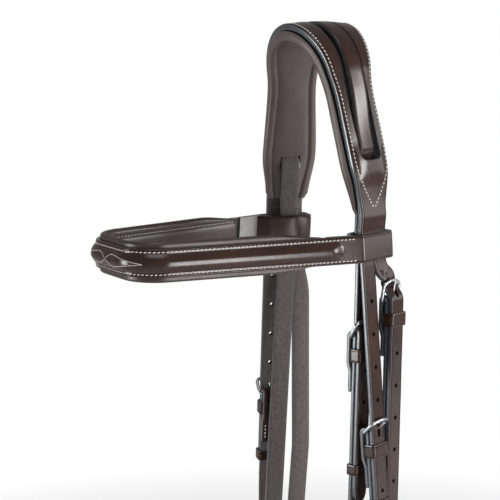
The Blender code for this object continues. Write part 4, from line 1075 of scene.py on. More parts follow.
def window_cutter():
    """The long window over the noseband strap, its ends square with eased corners."""
    end = SLOT - WINDOW_SHORT
    tall = PAD_THICK + CROWN_THICK + 0.004
    eased = [end - WINDOW_CORNER * s for s in (0.03, 0.12, 0.28, 0.5, 0.75, 1.0)]
    marks = {end * k / 60 for k in range(-60, 61)}.union(eased, [-m for m in eased])

    def spots_at(run, _):
        here = HALF_WIDTH + WINDOW_MARGIN - WINDOW_CORNER * (1 - quarter((end - run) / WINDOW_CORNER))
        return (-here, WINDOW_LOW), (here, WINDOW_LOW), (here, tall), (-here, tall)

    return cutter_mesh(crown_rings(sorted(marks), spots_at))


def dive_cutters(kind):
    """What the noseband strap's dive through the crown takes out of the pad on both sides."""
    cutters = []
    thick = STRAP_THICK / 2 + SLOT_CLEAR + GAP
    wide = HALF_WIDTH + SLOT_CLEAR
    for side in (NEAR, FAR):
        place, down, out, back = arch_frame(side * SLOT)
        way = (down * DIVE_LENGTH + out * (BENEATH - OVER)).normalized()
        home = frame_of(place + out * (OVER + BENEATH) / 2, back.cross(way), back, way)
        rings = block(home, (-thick, -wide, -DIVE_LENGTH), (thick, wide, DIVE_LENGTH))
        cutters.append(Skin().loft(rings).mesh("cutter", kind))
    return cutters


def lining_spots(half, thick):
    """The lining channel's outline: soft middle, sewn groove, rolled edge, then back inside."""
    roll = min(ROLL_WIDTH, half * 0.4)
    seam = half - roll
    outer = [(0.0, -0.00025), (seam * 0.35, -0.0002), (seam * 0.7, 0.0)]
    outer += [(seam * 0.9, 0.0004), (seam, 0.00095)]
    for x, y in ((0.12, 0.00045), (0.28, -0.00005), (0.48, -0.00025), (0.68, -0.0001), (0.84, 0.0004)):
        outer.append((seam + roll * x, y))
    outer += [(half - 0.0003, 0.0012), (half, thick * 0.42)]
    outer += [(half - 0.0002, thick * 0.72), (half - 0.0008, thick)]
    inner = [(half - 0.0016, thick), (half - 0.0013, thick * 0.5), (half - 0.0018, 0.0014)]
    return both_halves([*outer, *inner, (seam, 0.0016), (0.0, 0.0012)])


def lining_skin(end):
    def spots_at(run, place):
        half = crown_half_width(run) + PAD_MARGIN
        half = half - 0.002 * (1 - smooth((end - run) / 0.004))
        puff = noise.noise(place * 70.0) * 0.0002
        return [(x, y + puff * (1 if y < 0.0006 else 0)) for x, y in lining_spots(half, pad_thick(run))]

    return Skin().loft(crown_rings(crown_reaches(end), spots_at))


def foam_skin(end):
    """The filling, painted near black as shade, seen only as a dark line between the lining's rolls and the
    leather.
    """
    shares = [k / 4 for k in range(-4, 5)]

    def spots_at(run, _):
        pad_half = crown_half_width(run) + PAD_MARGIN
        half = pad_half - FOAM_INSET
        upper = [(half * s, pad_thick(run) + crown_rise(run, half * s / pad_half)) for s in reversed(shares)]
        return [(half * s, FOAM_LOW) for s in shares] + upper

    return Skin().loft(crown_rings(crown_reaches(end), spots_at))


def headstall_route():
    half_dive = DIVE_LENGTH / 2
    near = [
        (SLOT - half_dive, OVER, 0.0, DIVE_RADIUS),
        (SLOT + half_dive, BENEATH, 0.0, DIVE_RADIUS),
        (TAB, BENEATH, NOSE_NEAR_BACK / 2, DIVE_RADIUS),
        (BROW_REACH - BROW_HEIGHT / 2, NOSE_SEAT, NOSE_NEAR_BACK, DIVE_RADIUS),
        (BROW_REACH + SEAM_LAP, NOSE_SEAT, NOSE_NEAR_BACK, 0),
    ]
    far = [(-r, o, b / NOSE_NEAR_BACK * NOSE_FAR_BACK, radius) for r, o, b, radius in reversed(near)]
    return [(Vector((r, o, b)), radius) for r, o, b, radius in far + near]


def headstall_skin():
    spots, finishes = strap_section(HALF_WIDTH, STRAP_THICK)
    rings = []
    for point, before, after, _ in run_along(dense(rounded(headstall_route()), 0.0025)):
        reach, lift, shift = point
        place, down, out, back = arch_frame(reach)
        slope = (after.y - before.y) / (after.x - before.x)
        way = down if reach >= 0 else -down
        normal = (out - way * slope).normalized()
        free = 1 - smooth((abs(reach) - WINDOW_FREE) / (WINDOW_HELD - WINDOW_FREE))
        centre = place + out * (lift + STRAP_LIFT * free) + back * (shift + STRAP_BACK * free)
        rings.append([centre + back * x + normal * y for x, y in spots])
    return Skin().loft(rings, finishes, cap=EDGE)


def crown_row(side, front):
    """A stitch row near one edge of the crown, from the poll to the tip of the V."""
    row = []
    for k in range(61):
        run = CROWN_ROW_TIP * k / 60
        share = max(0.0, (run - CROWN_ROW_TURN) / (CROWN_ROW_TIP - CROWN_ROW_TURN)) ** 2.2
        across = (crown_half_width(run) - CROWN_ROW_IN) * (1 - share) * front
        row.append(crown_spot(side * run, across, CROWN_THICK))
    return tuple(zip(*row))


def lining_row(side, front):
    """A stitch row in the groove beside one of the lining's rolls."""
    row = []
    for k in range(60):
        run = LINING_ROW_END * k / 59
        place, _, out, back = arch_frame(side * run)
        across = front * (crown_half_width(run) + PAD_MARGIN - ROLL_WIDTH)
        row.append((place + back * across + out * LINING_ROW_OUT, -out))
    return tuple(zip(*row))


def show_crown():
    skin = headpiece_skin(BROW_REACH + SEAM_LAP)
    show("headpiece_leather", skin, "leather", "crown", ["headpiece"], [window_cutter()])
    skin = lining_skin(TAB)
    made = show("crown_lining_channel", skin, "lining", "crown", ["crown_lining"], dive_cutters("lining"))
    skin = foam_skin(TAB - FOAM_SHORT)
    show("crown_foam_filling", skin, "foam", "crown", ["crown_foam"], dive_cutters("foam"))
    show("noseband_headstall_strap", headstall_skin(), "leather", "crown", ["noseband_headstall"])
    edges = [(side, front) for side in (NEAR, FAR) for front in (-1, 1)]
    show_threads("crown_stitching", "crown", [crown_row(*edge) for edge in edges])
    rows = [lining_row(*edge) for edge in edges]
    show_threads("crown_lining_stitching", "crown", rows, "dark thread", STITCH_RADIUS * 0.8)


# Browband


def brow_level():
    return side_frame(NEAR).translation.z


def plan_point(place, out, back):
    point = place @ Vector((out, back, 0))
    return Vector((point.x, point.y, 0))


def brow_plan():
    """The near loop's corners, from the lapped end to the loop's front, and the band's front corner."""
    place = side_frame(NEAR)
    half = CROWN_STRAP_WIDTH / 2 + LOOP_PLAY + BROW_THICK / 2
    rear = CROWN_STRAP_WIDTH / 2 + LOOP_BACK_PLAY + BROW_THICK / 2
    outer = CROWN_THICK / 2 + LOOP_OUT_PLAY + BROW_THICK / 2
    inner = CROWN_SEAT - NOSE_SEAT + STRAP_THICK / 2 + LOOP_IN_PLAY + BROW_THICK / 2
    front = plan_point(place, outer, -half)
    way = Vector((-math.sin(BROW_SIDE_TURN), -math.cos(BROW_SIDE_TURN), 0))
    inward = Vector((-math.cos(BROW_SIDE_TURN), math.sin(BROW_SIDE_TURN), 0))
    turn = math.pi / 2 - BROW_SIDE_TURN
    reach = BROW_CORNER * math.tan(turn / 2)
    spare = BROW_LENGTH / 2 - half - rear - front.x + 2 * reach - BROW_CORNER * turn
    corner = front + way * (spare / (1 - math.sin(BROW_SIDE_TURN)))
    lap = inward * (BROW_THICK + GAP)
    middle = blend(LOOP_CORNER - half, rear, 0.68)
    loop = [
        (front + way * (LAP_START + LAP_LENGTH) + lap, 0),
        (front + way * LAP_START + lap, LOOP_CORNER),
        (plan_point(place, -inner, -half + LOOP_CORNER), LOOP_CORNER),
        (plan_point(place, -inner - LOOP_BOW, middle), LOOP_BOW_RADIUS),
        (plan_point(place, -inner, rear), LOOP_CORNER),
        (plan_point(place, outer, rear), LOOP_CORNER),
        (front, LOOP_CORNER),
    ]
    return loop, corner


def mirrored(corners):
    return [(Vector((-point.x, point.y, point.z)), radius) for point, radius in reversed(corners)]


def band_line(near, steps):
    """A band's middle line from its near half."""
    return dense(rounded(near + mirrored(near), steps), BAND_STEP)


def offset_line(points, offset):
    line = run_along(points)
    return [point + (after - before).normalized().cross(UP) * -offset for point, before, after, _ in line]


def cut_line(points, spare):
    """A line without this much of its length at both ends."""
    end = route_length(points) - spare
    line = run_along(with_points_at(points, [spare, end]))
    return [point for point, _, _, run in line if spare - GAP <= run <= end + GAP]


def leaned(point):
    """The browband flares to follow the crown straps that it hangs on."""
    moved = point.copy()
    moved.x *= 1 - (point.z - brow_level()) * math.tan(FALL_LEAN) / side_frame(NEAR).translation.x
    return moved


def same(point):
    return point


def band_rings(points, level, section_at, flare, marks=()):
    """Rings of an upright band; section_at(edge) gives the (up, out) spots this far from its nearer end."""
    total = route_length(points)
    rings = []
    for point, before, after, run in run_along(with_points_at(points, [*marks, *(total - m for m in marks)])):
        out = UP.cross((after - before).normalized())
        spots = section_at(min(run, total - run))
        rings.append([flare(point + UP * (level + up) + out * y) for up, y in spots])
    return rings


def pad_section(height, thick, row):
    """A sewn pad: soft middle, sewn grooves on its inner face and rolls along both edges."""
    t = thick / 2
    roll = height / 2 - row
    right = [(0.0, -t * 0.86), (row * 0.5, -t * 0.82), (row * 0.84, -t * 0.62), (row, -t * 0.22)]
    for s, v in PAD_ROLL:
        right.append((row + roll * s, t * v))
    return both_halves(right + [(row, t * PAD_FLAT), (0.0, t * PAD_FLAT)])


def pad_skin(points, level, heights, thick, row, flare):
    """A padded lining band with closed, rounded ends."""
    seat = thick / 2 * PAD_FLAT

    def section_at(edge):
        close = quarter(edge / PAD_ROUND, 0.06)
        height = blend(*heights, smooth(edge / BROW_PAD_TAPER)) * blend(0.9, 1.0, close)
        here = pad_section(height, thick, min(row, height / 2 - 0.002))
        return [(u, seat + (v - seat) * close) for u, v in here]

    return Skin().loft(band_rings(points, level, section_at, flare, PAD_MARKS))


def raised_skin(points, level, height, thick, flare):
    """A domed strip whose feet run out into the band."""
    right = [0.1, 0.2, 0.3, 0.4, 0.5, 0.6, 0.7, 0.78, 0.86, 0.93, 1.0]
    shares = [-s for s in reversed(right)] + [0.0] + right
    round_in = height * 0.55
    foot = -thick / 2 - GAP

    def section_at(edge):
        wide = height / 2 * quarter(edge / round_in, 0.05)
        rise = max(smooth(edge / (round_in * 1.5)) ** 0.75, 0.06)
        spots = [(wide * s, dome(s) * (thick + GAP) * rise + foot) for s in shares]
        return spots + [(wide * 0.98, foot - 0.0005), (-wide * 0.98, foot - 0.0005)]

    return Skin().loft(band_rings(points, level, section_at, flare, RAISED_MARKS))


def dome(share):
    """Height of the domed strip at a share of its half width."""
    return (0.5 + 0.5 * math.cos(math.pi * share)) * 0.15 + (1 - abs(share) ** 2.6) * 0.85


def band_row(points, level, up, out, flare):
    """A stitch line along a band at a height up and out from its middle line."""
    row = []
    for point, before, after, _ in run_along(points):
        side = UP.cross((after - before).normalized())
        row.append((flare(point + UP * (level + up) + side * out), side * (1 if out > 0 else -1)))
    return tuple(zip(*row))


LEAF = ((0.0, 0.0), (0.0020, 0.0013), (0.0050, 0.0030), (0.0080, 0.0036), (0.0120, 0.0033))
LEAF += ((0.0180, 0.0023), (0.0250, 0.0011), (0.0330, 0.0))


def fancy_stitches(line, level, height, thick, flare):
    """The traditional crossed leaves sewn over the middle of a raised strip."""
    middle = route_length(line) / 2
    spots = []
    for way, tall in ((-1, -1), (-1, 1), (1, -1), (1, 1)):
        row = []
        for mark in dense([Vector((along * way, up * tall, 0)) for along, up in LEAF], LEAF_STEP):
            ((i, where),) = marks_along(line, [middle + mark.x])
            side = UP.cross((line[i + 1] - line[i]).normalized())
            share = mark.y / (height / 2)
            lift = dome(share) * (thick + GAP) - thick / 2 - GAP
            rise = (dome(share + 0.02) - dome(share - 0.02)) * (thick + GAP) / (0.04 * height / 2)
            place = line[i].lerp(line[i + 1], where)
            row.append((flare(place + UP * (level + mark.y) + side * lift), (side - UP * rise).normalized()))
        spots += stitch_row(*zip(*row), FINE_PITCH, 0.0)
    return spots


def show_band_trim(prefix, body, kind, level, line, pad, band, padding, raised, spare, sewn, flare):
    """The padding, raised strip and threads of a band; band, padding and raised are (height, thick)."""
    row = band[0] / 2 - ROW_IN
    skin = pad_skin(pad, level, (band[0], padding[0]), padding[1], row, flare)
    made = show(f"{prefix}_padding_roll", skin, kind, body, [f"{prefix}_padding"])
    strip = offset_line(cut_line(line, spare), (band[1] + raised[1]) / 2 + GAP)
    skin = raised_skin(strip, level, *raised, flare)
    show(f"{prefix}_raised_leather", skin, "leather", body, [f"{prefix}_raised_strip"])
    fancy = stitch_skin(Skin(), fancy_stitches(strip, level, *raised, flare), FINE_LENGTH, FINE_RADIUS)
    show(f"{prefix}_fancy_stitching", fancy, "thread", body, angle=80)
    faces = ((cut_line(line, sewn), band[1] / 2), (cut_line(pad, PAD_SEWN), -padding[1] / 2 * 0.3))
    rows = [band_row(points, level, up, out, flare) for points, out in faces for up in (-row, row)]
    show_threads(f"{prefix}_stitching", body, rows)


def show_browband():
    level = brow_level()
    loop, corner = brow_plan()
    section, finishes = strap_section(BROW_HEIGHT / 2, BROW_THICK)
    edges = []

    def strap_at(edge):
        edges.append(edge)
        return section

    rings = band_rings(band_line([*loop, (corner, BROW_CORNER)], 20), level, strap_at, leaned)
    skin = Skin().loft(rings, finishes, cap=EDGE)
    for i in range(len(edges) - 1):
        for j, finish in enumerate(finishes):
            if finish == GRAIN and max(edges[i], edges[i + 1]) < LAP_LENGTH + SKIVED:
                skin.finishes[i * len(finishes) + j] = FLESH
    # The browband's flesh faces, the lap's among them, take the lighter flesh finish with painted sheen.
    show("browband_strap_leather", skin, "browband leather", "browband", ["browband_strap"])
    line = band_line([(loop[-1][0], 0), (corner, BROW_CORNER)], 20)
    pad = offset_line(line, -(BROW_THICK + BROW_PAD_THICK) / 2 - GAP * 0.3)
    pad = cut_line(pad, LAP_START + BROW_PAD_START)
    sizes = ((BROW_HEIGHT, BROW_THICK), (BROW_PAD_HEIGHT, BROW_PAD_THICK), (RAISE_HEIGHT, RAISE_THICK))
    show_band_trim("browband", "browband", "pad", level, line, pad, *sizes, RAISE_START, BROW_SEWN, leaned)


# Cheekpieces


def cheek_frames(side):
    hinge = shifted(fork_frame(NEAR), out=CHEEK_OUT, back=-HALF_WIDTH - GAP / 2)
    hinge = hinge @ Matrix.Rotation(CHEEK_BACK, 4, "X")
    out, _ = top_bar_spot(CHEEK_TILT)
    bar = shifted(hinge, out=-out, up=-CHEEK_BAR_DROP)
    bend = shifted(bar, out=STRAP_OUT, up=-CHEEK_BEND_DROP) @ Matrix.Rotation(CHEEK_UNBEND, 4, "Y")
    bit = shifted(bend, up=-CHEEK_RUN)
    frames = (hinge, bar, bend, bit)
    return frames if side == NEAR else tuple(MIRROR @ place for place in frames)


def billet_top(side, out, back):
    """Where a billet meets the crown strap inside the browband's loop."""
    place = side_frame(side, -SEAM_RISE)
    return place @ Vector((out, back, 0))


def show_hung(name, skin, body, cutters, fork, above=0.006, below=0.012):
    """A leather strap that hangs from the crown, shown in place of its CAD node and put on no body."""
    made = show(f"{name}_leather", skin, "leather", None, [name], cutters)
    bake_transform(made)


def show_cheek(side):
    half_name = SIDE_NAMES[side]
    name = f"{half_name}_cheek"
    body = f"{name}piece"
    hinge, bar, bend, bit = cheek_frames(side)
    back = bar.to_3x3() @ BACK
    inverse = bar.inverted()
    out, _ = top_bar_spot(CHEEK_TILT)
    top = inverse @ billet_top(side, 0.0, -HALF_WIDTH - GAP / 2)
    upper = [(top, 0), (Vector((out, 0, CHEEK_BAR_DROP)), FORK_BEND)]
    skin = billet_skin(bar, CHEEK_TILT, upper, CHEEK_TAIL, back, -side)
    cutters = hole_cutters(bar, out, [HOLE_PITCH * k for k in (1, 2, 3, 4)])
    cutters += hole_cutters(bar, BILLET_OUT, [-2 * HOLE_PITCH + KEEPER_HEIGHT / 2])
    cutters.append(punch_cutter(bar, CHEEK_TILT))
    show_hung(f"{name}_billet", skin, body, cutters, hinge.translation)

    loop_mid = BIT_LOOP_RADIUS + STRAP_THICK / 2
    side_by = STRAP_THICK + GAP
    lower = [
        (Vector((0, 0, -loop_mid)), loop_mid),
        (Vector((-2 * loop_mid - BIT_SEAT, 0, -loop_mid)), loop_mid),
        (Vector((-2 * loop_mid - BIT_SEAT, 0, BIT_HEEL)), KNEE_RADIUS),
        (Vector((-side_by, 0, BIT_RETURN)), KNEE_RADIUS),
        (Vector((-side_by, 0, BIT_TAIL)), 0),
    ]
    corners = fold_corners(CHEEK_BEND_DROP)
    corners += [(inverse @ (bit @ point), radius) for point, radius in lower]
    points = [bar @ p for p in rounded(corners)]
    skin = strap_skin(points, lambda p: back, STRAP_THICK, -side, ("square", "point"))
    show(f"{name}_strap_leather", skin, "leather", body, [f"{name}_strap"], [fold_cutter(bar)])
    half = STRAP_THICK / 2
    top = BIT_KEEPER_RISE + BIT_KEEPER_HEIGHT
    skin = keeper_skin(bit, -side_by - half - GAP, half + GAP, top, BIT_KEEPER_HEIGHT)
    show(f"{half_name}_bit_keeper_loop", skin, "leather", body, [f"{half_name}_bit_keeper"])
    skin = stud_skin(shifted(bit, up=STUD_RISE), side_by)
    show(f"{half_name}_hook_stud_plate", skin, "steel", body, [f"{half_name}_hook_stud"], angle=50)
    show_buckle_set(name, bar, CHEEK_TILT, body, RUNNER_DROP)
    rows = []
    inward = bar.to_3x3() @ Vector((-1, 0, 0))
    for across in (-CHEEK_SEWN_ACROSS, CHEEK_SEWN_ACROSS):
        line = dense([bar @ Vector((TURN_BACK_OUT - half, across, -z)) for z in CHEEK_SEWN], 0.002)
        rows.append((line, [inward] * len(line)))
    show_threads(f"{name}_stitching", body, rows)


def stud_skin(place, side_by):
    """A stud with a rounded oval plate."""
    face = -side_by - STRAP_THICK / 2 - GAP
    sections = [(STUD_SINK - STRAP_THICK / 2, STUD_RADIUS, STUD_RADIUS), (face, STUD_RADIUS, STUD_RADIUS)]
    for s, d in ((0.9, 0.0), (0.98, 0.15), (1.0, 0.4), (0.97, 0.7), (0.86, 0.9), (0.6, 1.0), (0.3, 1.04)):
        sections.append((face - STUD_PLATE_THICK * d, STUD_PLATE_WIDTH / 2 * s, STUD_PLATE_LENGTH / 2 * s))
    rings = []
    for out, across, up in sections:
        rings.append([place @ Vector((out, across * c, up * s)) for c, s in circle(28, 0)])
    return Skin().loft(rings)


# Throatlatch


def throat_frames():
    hinge = shifted(fork_frame(NEAR), back=HALF_WIDTH + GAP / 2, up=-THROAT_TOP_DROP)
    out, _ = top_bar_spot(THROAT_TILT, THROAT_BEND)
    bar = shifted(side_frame(NEAR), out=-out, back=THROAT_BACK, up=-THROAT_BAR_DROP)
    bar = bar @ Matrix.Rotation(THROAT_UPRIGHT, 4, "Y")
    return hinge, bar


def show_throatlatch():
    hinge, bar = throat_frames()
    near_back = bar.to_3x3() @ BACK
    inverse = bar.inverted()
    out, _ = top_bar_spot(THROAT_TILT, THROAT_BEND)
    top = inverse @ billet_top(NEAR, 0.0, HALF_WIDTH + GAP / 2)
    start = inverse @ hinge.translation
    upper = [(top, 0), (start, 0.012), (Vector((out, 0, THROAT_TURN)), HALF_WIDTH + GAP)]
    skin = billet_skin(bar, THROAT_TILT, upper, THROAT_TAIL, near_back, -1, bend=THROAT_BEND)
    ups = [-HOLE_PITCH * k + KEEPER_HEIGHT for k in (2, 3, 4, 5, 6)]
    cutters = [punch_cutter(bar, THROAT_TILT), *hole_cutters(bar, BILLET_OUT, ups)]
    show_hung("near_throat_billet", skin, "throatlatch", cutters, hinge.translation, *THROAT_BLEND)

    low = Vector((0, THROAT_LOW_BACK, -THROAT_BOTTOM))
    near_low = bar @ Vector((STRAP_OUT, 0, -THROAT_NEAR_DROP_LOW))
    far_fork = MIRROR @ fork_frame(NEAR)
    far_top = shifted(far_fork, back=HALF_WIDTH + GAP / 2, up=-THROAT_FAR_TOP_DROP).translation
    far_high = far_fork @ Vector((0, THROAT_FAR_BACK_HIGH, -THROAT_FAR_DROP_HIGH))
    far_low = far_fork @ Vector((0, THROAT_FAR_BACK_LOW, -THROAT_FAR_DROP_LOW))
    far_low.x = blend(far_high.x, far_low.x, 0.5)
    corners = [(bar @ point, radius) for point, radius in fold_corners(THROAT_NEAR_DROP_LOW)[:-1]]
    corners += [
        (near_low, THROAT_CORNER),
        (Vector((THROAT_SPREAD, low.y, low.z)), THROAT_CORNER),
        (Vector((-THROAT_SPREAD, low.y, low.z)), THROAT_CORNER),
        (far_low, THROAT_CORNER),
        (far_high, THROAT_CORNER),
        (far_top, 0.02),
        (billet_top(FAR, 0.0, HALF_WIDTH + GAP / 2), 0),
    ]
    far_back = Vector((-near_back.x, near_back.y, near_back.z))

    def back_at(point):
        share = smooth((THROAT_SPREAD - point.x) / (2 * THROAT_SPREAD))
        return near_back.lerp(far_back, share)

    skin = strap_skin(rounded(corners, 20), back_at, STRAP_THICK, -1, ("square", "plain"))
    far = far_top - UP * THROAT_TOP_DROP
    show_hung("throatlatch_strap", skin, "throatlatch", [fold_cutter(bar)], far, *THROAT_BLEND)
    show_buckle_set("throat", bar, THROAT_TILT, "throatlatch", THROAT_RUNNER_DROP)


# Noseband


def nose_frames(side):
    shift = NOSE_NEAR_BACK if side == NEAR else NOSE_FAR_BACK
    fork = fork_frame(NEAR)
    top = fork @ Vector((NOSE_SEAT - CROWN_SEAT, shift, 0))
    up = (top - Vector((NOSE_STRAP_X, NOSE_STRAP_Y, -NOSE_DROP))).normalized()
    toed = fork.to_3x3() @ Vector((1, 0, 0))
    out = (toed - up * toed.dot(up)).normalized()
    hinge = frame_of(top, out, up.cross(out), up)
    over, _ = top_bar_spot(NOSE_TILT)
    bar = shifted(hinge, out=-over, up=-NOSE_BAR_DROP)
    return (hinge, bar) if side == NEAR else (MIRROR @ hinge, MIRROR @ bar)


def ring_side():
    return NOSE_STRAP_X + STRAP_THICK / 2 + GAP + NOSE_BAND_THICK / 2


def chin_frame():
    place = Vector((ring_side() - STRAP_OUT, CHIN_BAR_BACK, -NOSE_DROP))
    return frame_of(place, Vector((1, 0, 0)), -UP, BACK)


def show_noseband():
    hinge, bar = nose_frames(NEAR)
    level = -NOSE_DROP
    over, _ = top_bar_spot(NOSE_TILT)
    near_back = bar.to_3x3() @ BACK
    seat = NOSE_SEAT - CROWN_SEAT
    top = bar.inverted() @ billet_top(NEAR, seat, NOSE_NEAR_BACK)
    upper = [(top, 0), (Vector((over, 0, NOSE_BAR_DROP)), FORK_BEND)]
    skin = billet_skin(bar, NOSE_TILT, upper, NOSE_TAIL, near_back, -1)
    cutters = hole_cutters(bar, over, [HOLE_PITCH + KEEPER_DROP])
    cutters += hole_cutters(bar, BILLET_OUT, [-HOLE_PITCH * k for k in (1, 2, 3)])
    cutters.append(punch_cutter(bar, NOSE_TILT))
    show_hung("near_noseband_billet", skin, "noseband", cutters, hinge.translation)

    def untoed(top_back):
        def back_at(point):
            start = bar.translation.z - NOSE_TAIL
            share = smooth((start - point.z) / (start - level - NOSE_PAD_HEIGHT))
            return top_back.lerp(BACK, share)

        return back_at

    foot = Vector((NOSE_STRAP_X, NOSE_STRAP_Y, level + 2 * NOSE_PAD_HEIGHT))
    end = Vector((NOSE_STRAP_X, NOSE_STRAP_Y, level - NOSE_BAND_HEIGHT / 2 + GAP))
    lower = [(foot, CHEEK_BEND_RADIUS), (end, 0)]
    corners = [(bar @ p, r) for p, r in fold_corners(NOSE_TAIL + RUNNER_HEIGHT)] + lower
    skin = strap_skin(rounded(corners), untoed(near_back), STRAP_THICK, -1)
    cutters = [fold_cutter(bar)]
    show("near_noseband_strap_leather", skin, "leather", "noseband", ["near_noseband_strap"], cutters)
    show_buckle_set("noseband", bar, NOSE_TILT, "noseband", NOSE_RUNNER_DROP)

    far_hinge, _ = nose_frames(FAR)
    corners = [(billet_top(FAR, seat, NOSE_FAR_BACK), 0), (far_hinge.translation, FORK_BEND)]
    corners += reversed(mirrored(lower))
    far_back = far_hinge.to_3x3() @ BACK
    skin = strap_skin(rounded(corners), untoed(far_back), STRAP_THICK, 1, ("plain", "square"))
    show_hung("far_noseband_strap", skin, "noseband", (), far_hinge.translation)
    show_nosepiece(level)
    show_chin(level)


def show_nosepiece(level):
    side = ring_side()
    chin = chin_frame()
    near = [(Vector((side, back, level)), 0) for back in (NOSE_TAPER_BACK + NOSE_TAPER, NOSE_TAPER_BACK)]
    near.append((Vector((side, -NOSE_FRONT, level)), NOSE_CORNER))
    corners = [(chin @ p, r) for p, r in fold_corners(CHIN_BAR_BACK)[:-1]]
    corners += near + mirrored(near) + [(Vector((-side, NOSE_FAR_END, level)), 0)]

    def height(point):
        return blend(NOSE_BAND_HEIGHT, STRAP_WIDTH, smooth((point.y - NOSE_TAPER_BACK) / NOSE_TAPER))

    skin = strap_skin(rounded(corners, 24), lambda p: UP, NOSE_BAND_THICK, 1, width=height)
    show("nosepiece_band_leather", skin, "leather", "noseband", ["nosepiece_band"], [fold_cutter(chin)])
    line = band_line([(Vector((side, 0, 0)), 0), (Vector((side, -NOSE_FRONT, 0)), NOSE_CORNER)], 24)
    pad = offset_line(cut_line(line, -NOSE_PAD_BACK), -(NOSE_BAND_THICK + NOSE_PAD_THICK) / 2 - GAP * 0.3)
    sizes = ((NOSE_BAND_HEIGHT, NOSE_BAND_THICK), (NOSE_PAD_HEIGHT, NOSE_PAD_THICK))
    sizes += ((NOSE_RAISE_HEIGHT, NOSE_RAISE_THICK),)
    raised_from = -NOSE_RAISE_BACK
    show_band_trim("nosepiece", "noseband", "lining", level, line, pad, *sizes, raised_from, PAD_SEWN, same)


def show_chin(level):
    chin = chin_frame()
    out, _ = top_bar_spot(CHIN_TILT)
    near_x = (chin @ Vector((out, 0, 0))).x
    far_x = ring_side() - NOSE_BAND_THICK / 2 - GAP - BILLET_THICK / 2
    inverse = chin.inverted()
    world = [
        (Vector((-far_x, CHIN_LAP, level)), 0),
        (Vector((-far_x, CHIN_BACK, level)), CHIN_CORNER),
        (Vector((near_x, CHIN_BACK, level)), CHIN_CORNER),
    ]
    upper = [(inverse @ point, radius) for point, radius in world]
    skin = billet_skin(chin, CHIN_TILT, upper, CHIN_TAIL, UP, 1, ("square", "point"), steps=24)
    cutters = [punch_cutter(chin, CHIN_TILT), *hole_cutters(chin, out, [HOLE_PITCH])]
    show("chin_strap_leather", skin, "leather", "noseband", ["chin_strap"], cutters)
    show_buckle_set("chin", chin, CHIN_TILT, "noseband", RUNNER_DROP)


# Stage


def show_stage():
    half = 3.0
    mesh = bpy.data.meshes.new("floor")
    corners = [(-half, -half, 0), (half, -half, 0), (half, half, 0), (-half, half, 0)]
    mesh.from_pydata(corners, [], [(0, 1, 2, 3)])
    floor = new_object("floor", mesh)
    floor.location = (0, 0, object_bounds()[0][2] - FLOOR_DROP)
    made, tree, shader = shader_nodes("pale_floor")
    shader.inputs["Base Color"].default_value = (0.86, 0.86, 0.86, 1.0)
    shader.inputs["Roughness"].default_value = 0.85
    glow = add_node(tree, "ShaderNodeEmission", Strength=1.0)
    glow.inputs["Color"].default_value = (1.0, 1.0, 1.0, 1.0)
    path = add_node(tree, "ShaderNodeLightPath")
    place = add_node(tree, "ShaderNodeTexCoord")
    length = add_node(tree, "ShaderNodeVectorMath", operation="LENGTH")
    tree.links.new(place.outputs["Object"], length.inputs[0])
    fade = add_node(tree, "ShaderNodeMapRange")
    fade.inputs["From Min"].default_value = 0.30
    fade.inputs["From Max"].default_value = 0.70
    tree.links.new(length.outputs["Value"], fade.inputs["Value"])
    share = add_node(tree, "ShaderNodeMath", operation="MULTIPLY")
    tree.links.new(fade.outputs["Result"], share.inputs[0])
    tree.links.new(path.outputs["Is Camera Ray"], share.inputs[1])
    mix = add_node(tree, "ShaderNodeMixShader")
    tree.links.new(share.outputs["Value"], mix.inputs["Fac"])
    tree.links.new(shader.outputs["BSDF"], mix.inputs[1])
    tree.links.new(glow.outputs["Emission"], mix.inputs[2])
    tree.links.new(mix.outputs["Shader"], tree.nodes["Material Output"].inputs["Surface"])
    mesh.materials.append(made)


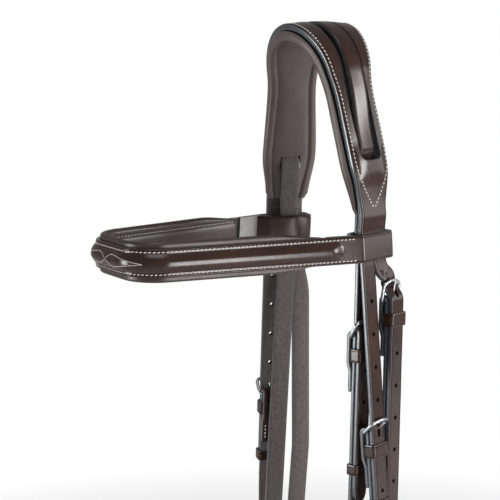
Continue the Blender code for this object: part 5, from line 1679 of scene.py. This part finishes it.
def show_world():
    world = bpy.data.worlds.new("studio")
    bpy.context.scene.world = world
    world.use_nodes = True
    tree = world.node_tree
    back = tree.nodes["Background"]
    back.inputs["Color"].default_value = (1.0, 1.0, 1.0, 1.0)
    path = add_node(tree, "ShaderNodeLightPath")
    strength = range_node(tree, path.outputs["Is Camera Ray"], 0.28, 1.0)
    tree.links.new(strength.outputs["Result"], back.inputs["Strength"])


def show_light(name, place, target, width, height, power):
    data = bpy.data.lights.new(name, "AREA")
    data.shape = "RECTANGLE"
    data.size = width
    data.size_y = height
    data.energy = power
    made = new_object(name, data)
    made.location = place
    made.rotation_euler = (Vector(target) - Vector(place)).to_track_quat("-Z", "Y").to_euler()


VIEW_TURN = math.radians(57.0)
VIEW_RISE = math.radians(9.5)
VIEW_AWAY = 0.97
VIEW_TARGET = Vector((0.0, -0.0514, -0.134))


def show_camera():
    data = bpy.data.cameras.new("camera")
    data.lens = 108.0
    data.sensor_width = 36.0
    data.clip_start = 0.01
    made = new_object("camera", data)
    level = math.cos(VIEW_RISE)
    way = Vector((math.sin(VIEW_TURN) * level, -math.cos(VIEW_TURN) * level, math.sin(VIEW_RISE)))
    made.location = VIEW_TARGET + way * VIEW_AWAY
    made.rotation_euler = way.to_track_quat("Z", "Y").to_euler()
    bpy.context.scene.camera = made


show_camera()
show_stage()
show_world()
show_light("back_softbox", (1.05, 1.02, 0.075), (0.045, 0.01, -0.05), 0.46, 0.55, 13.0)
show_light("back_fill", (0.47, 1.34, 0.06), (0.04, 0.01, -0.12), 0.50, 0.56, 1.8)
show_light("right_strip", (1.05, 0.10, -0.30), (0.0, -0.03, -0.17), 0.18, 0.70, 7.0)
show_light("left_softbox", (-0.44, -1.33, -0.36), (0.05, 0.0, -0.20), 0.36, 0.80, 14.0)
show_light("top_softbox", (0.3, -0.2, 1.35), (0.0, 0.0, -0.1), 0.8, 0.8, 5.0)

show_crown()
show_browband()
for where in (NEAR, FAR):
    show_cheek(where)
show_throatlatch()
show_noseband()

bpy.context.scene.view_settings.view_transform = "Standard"
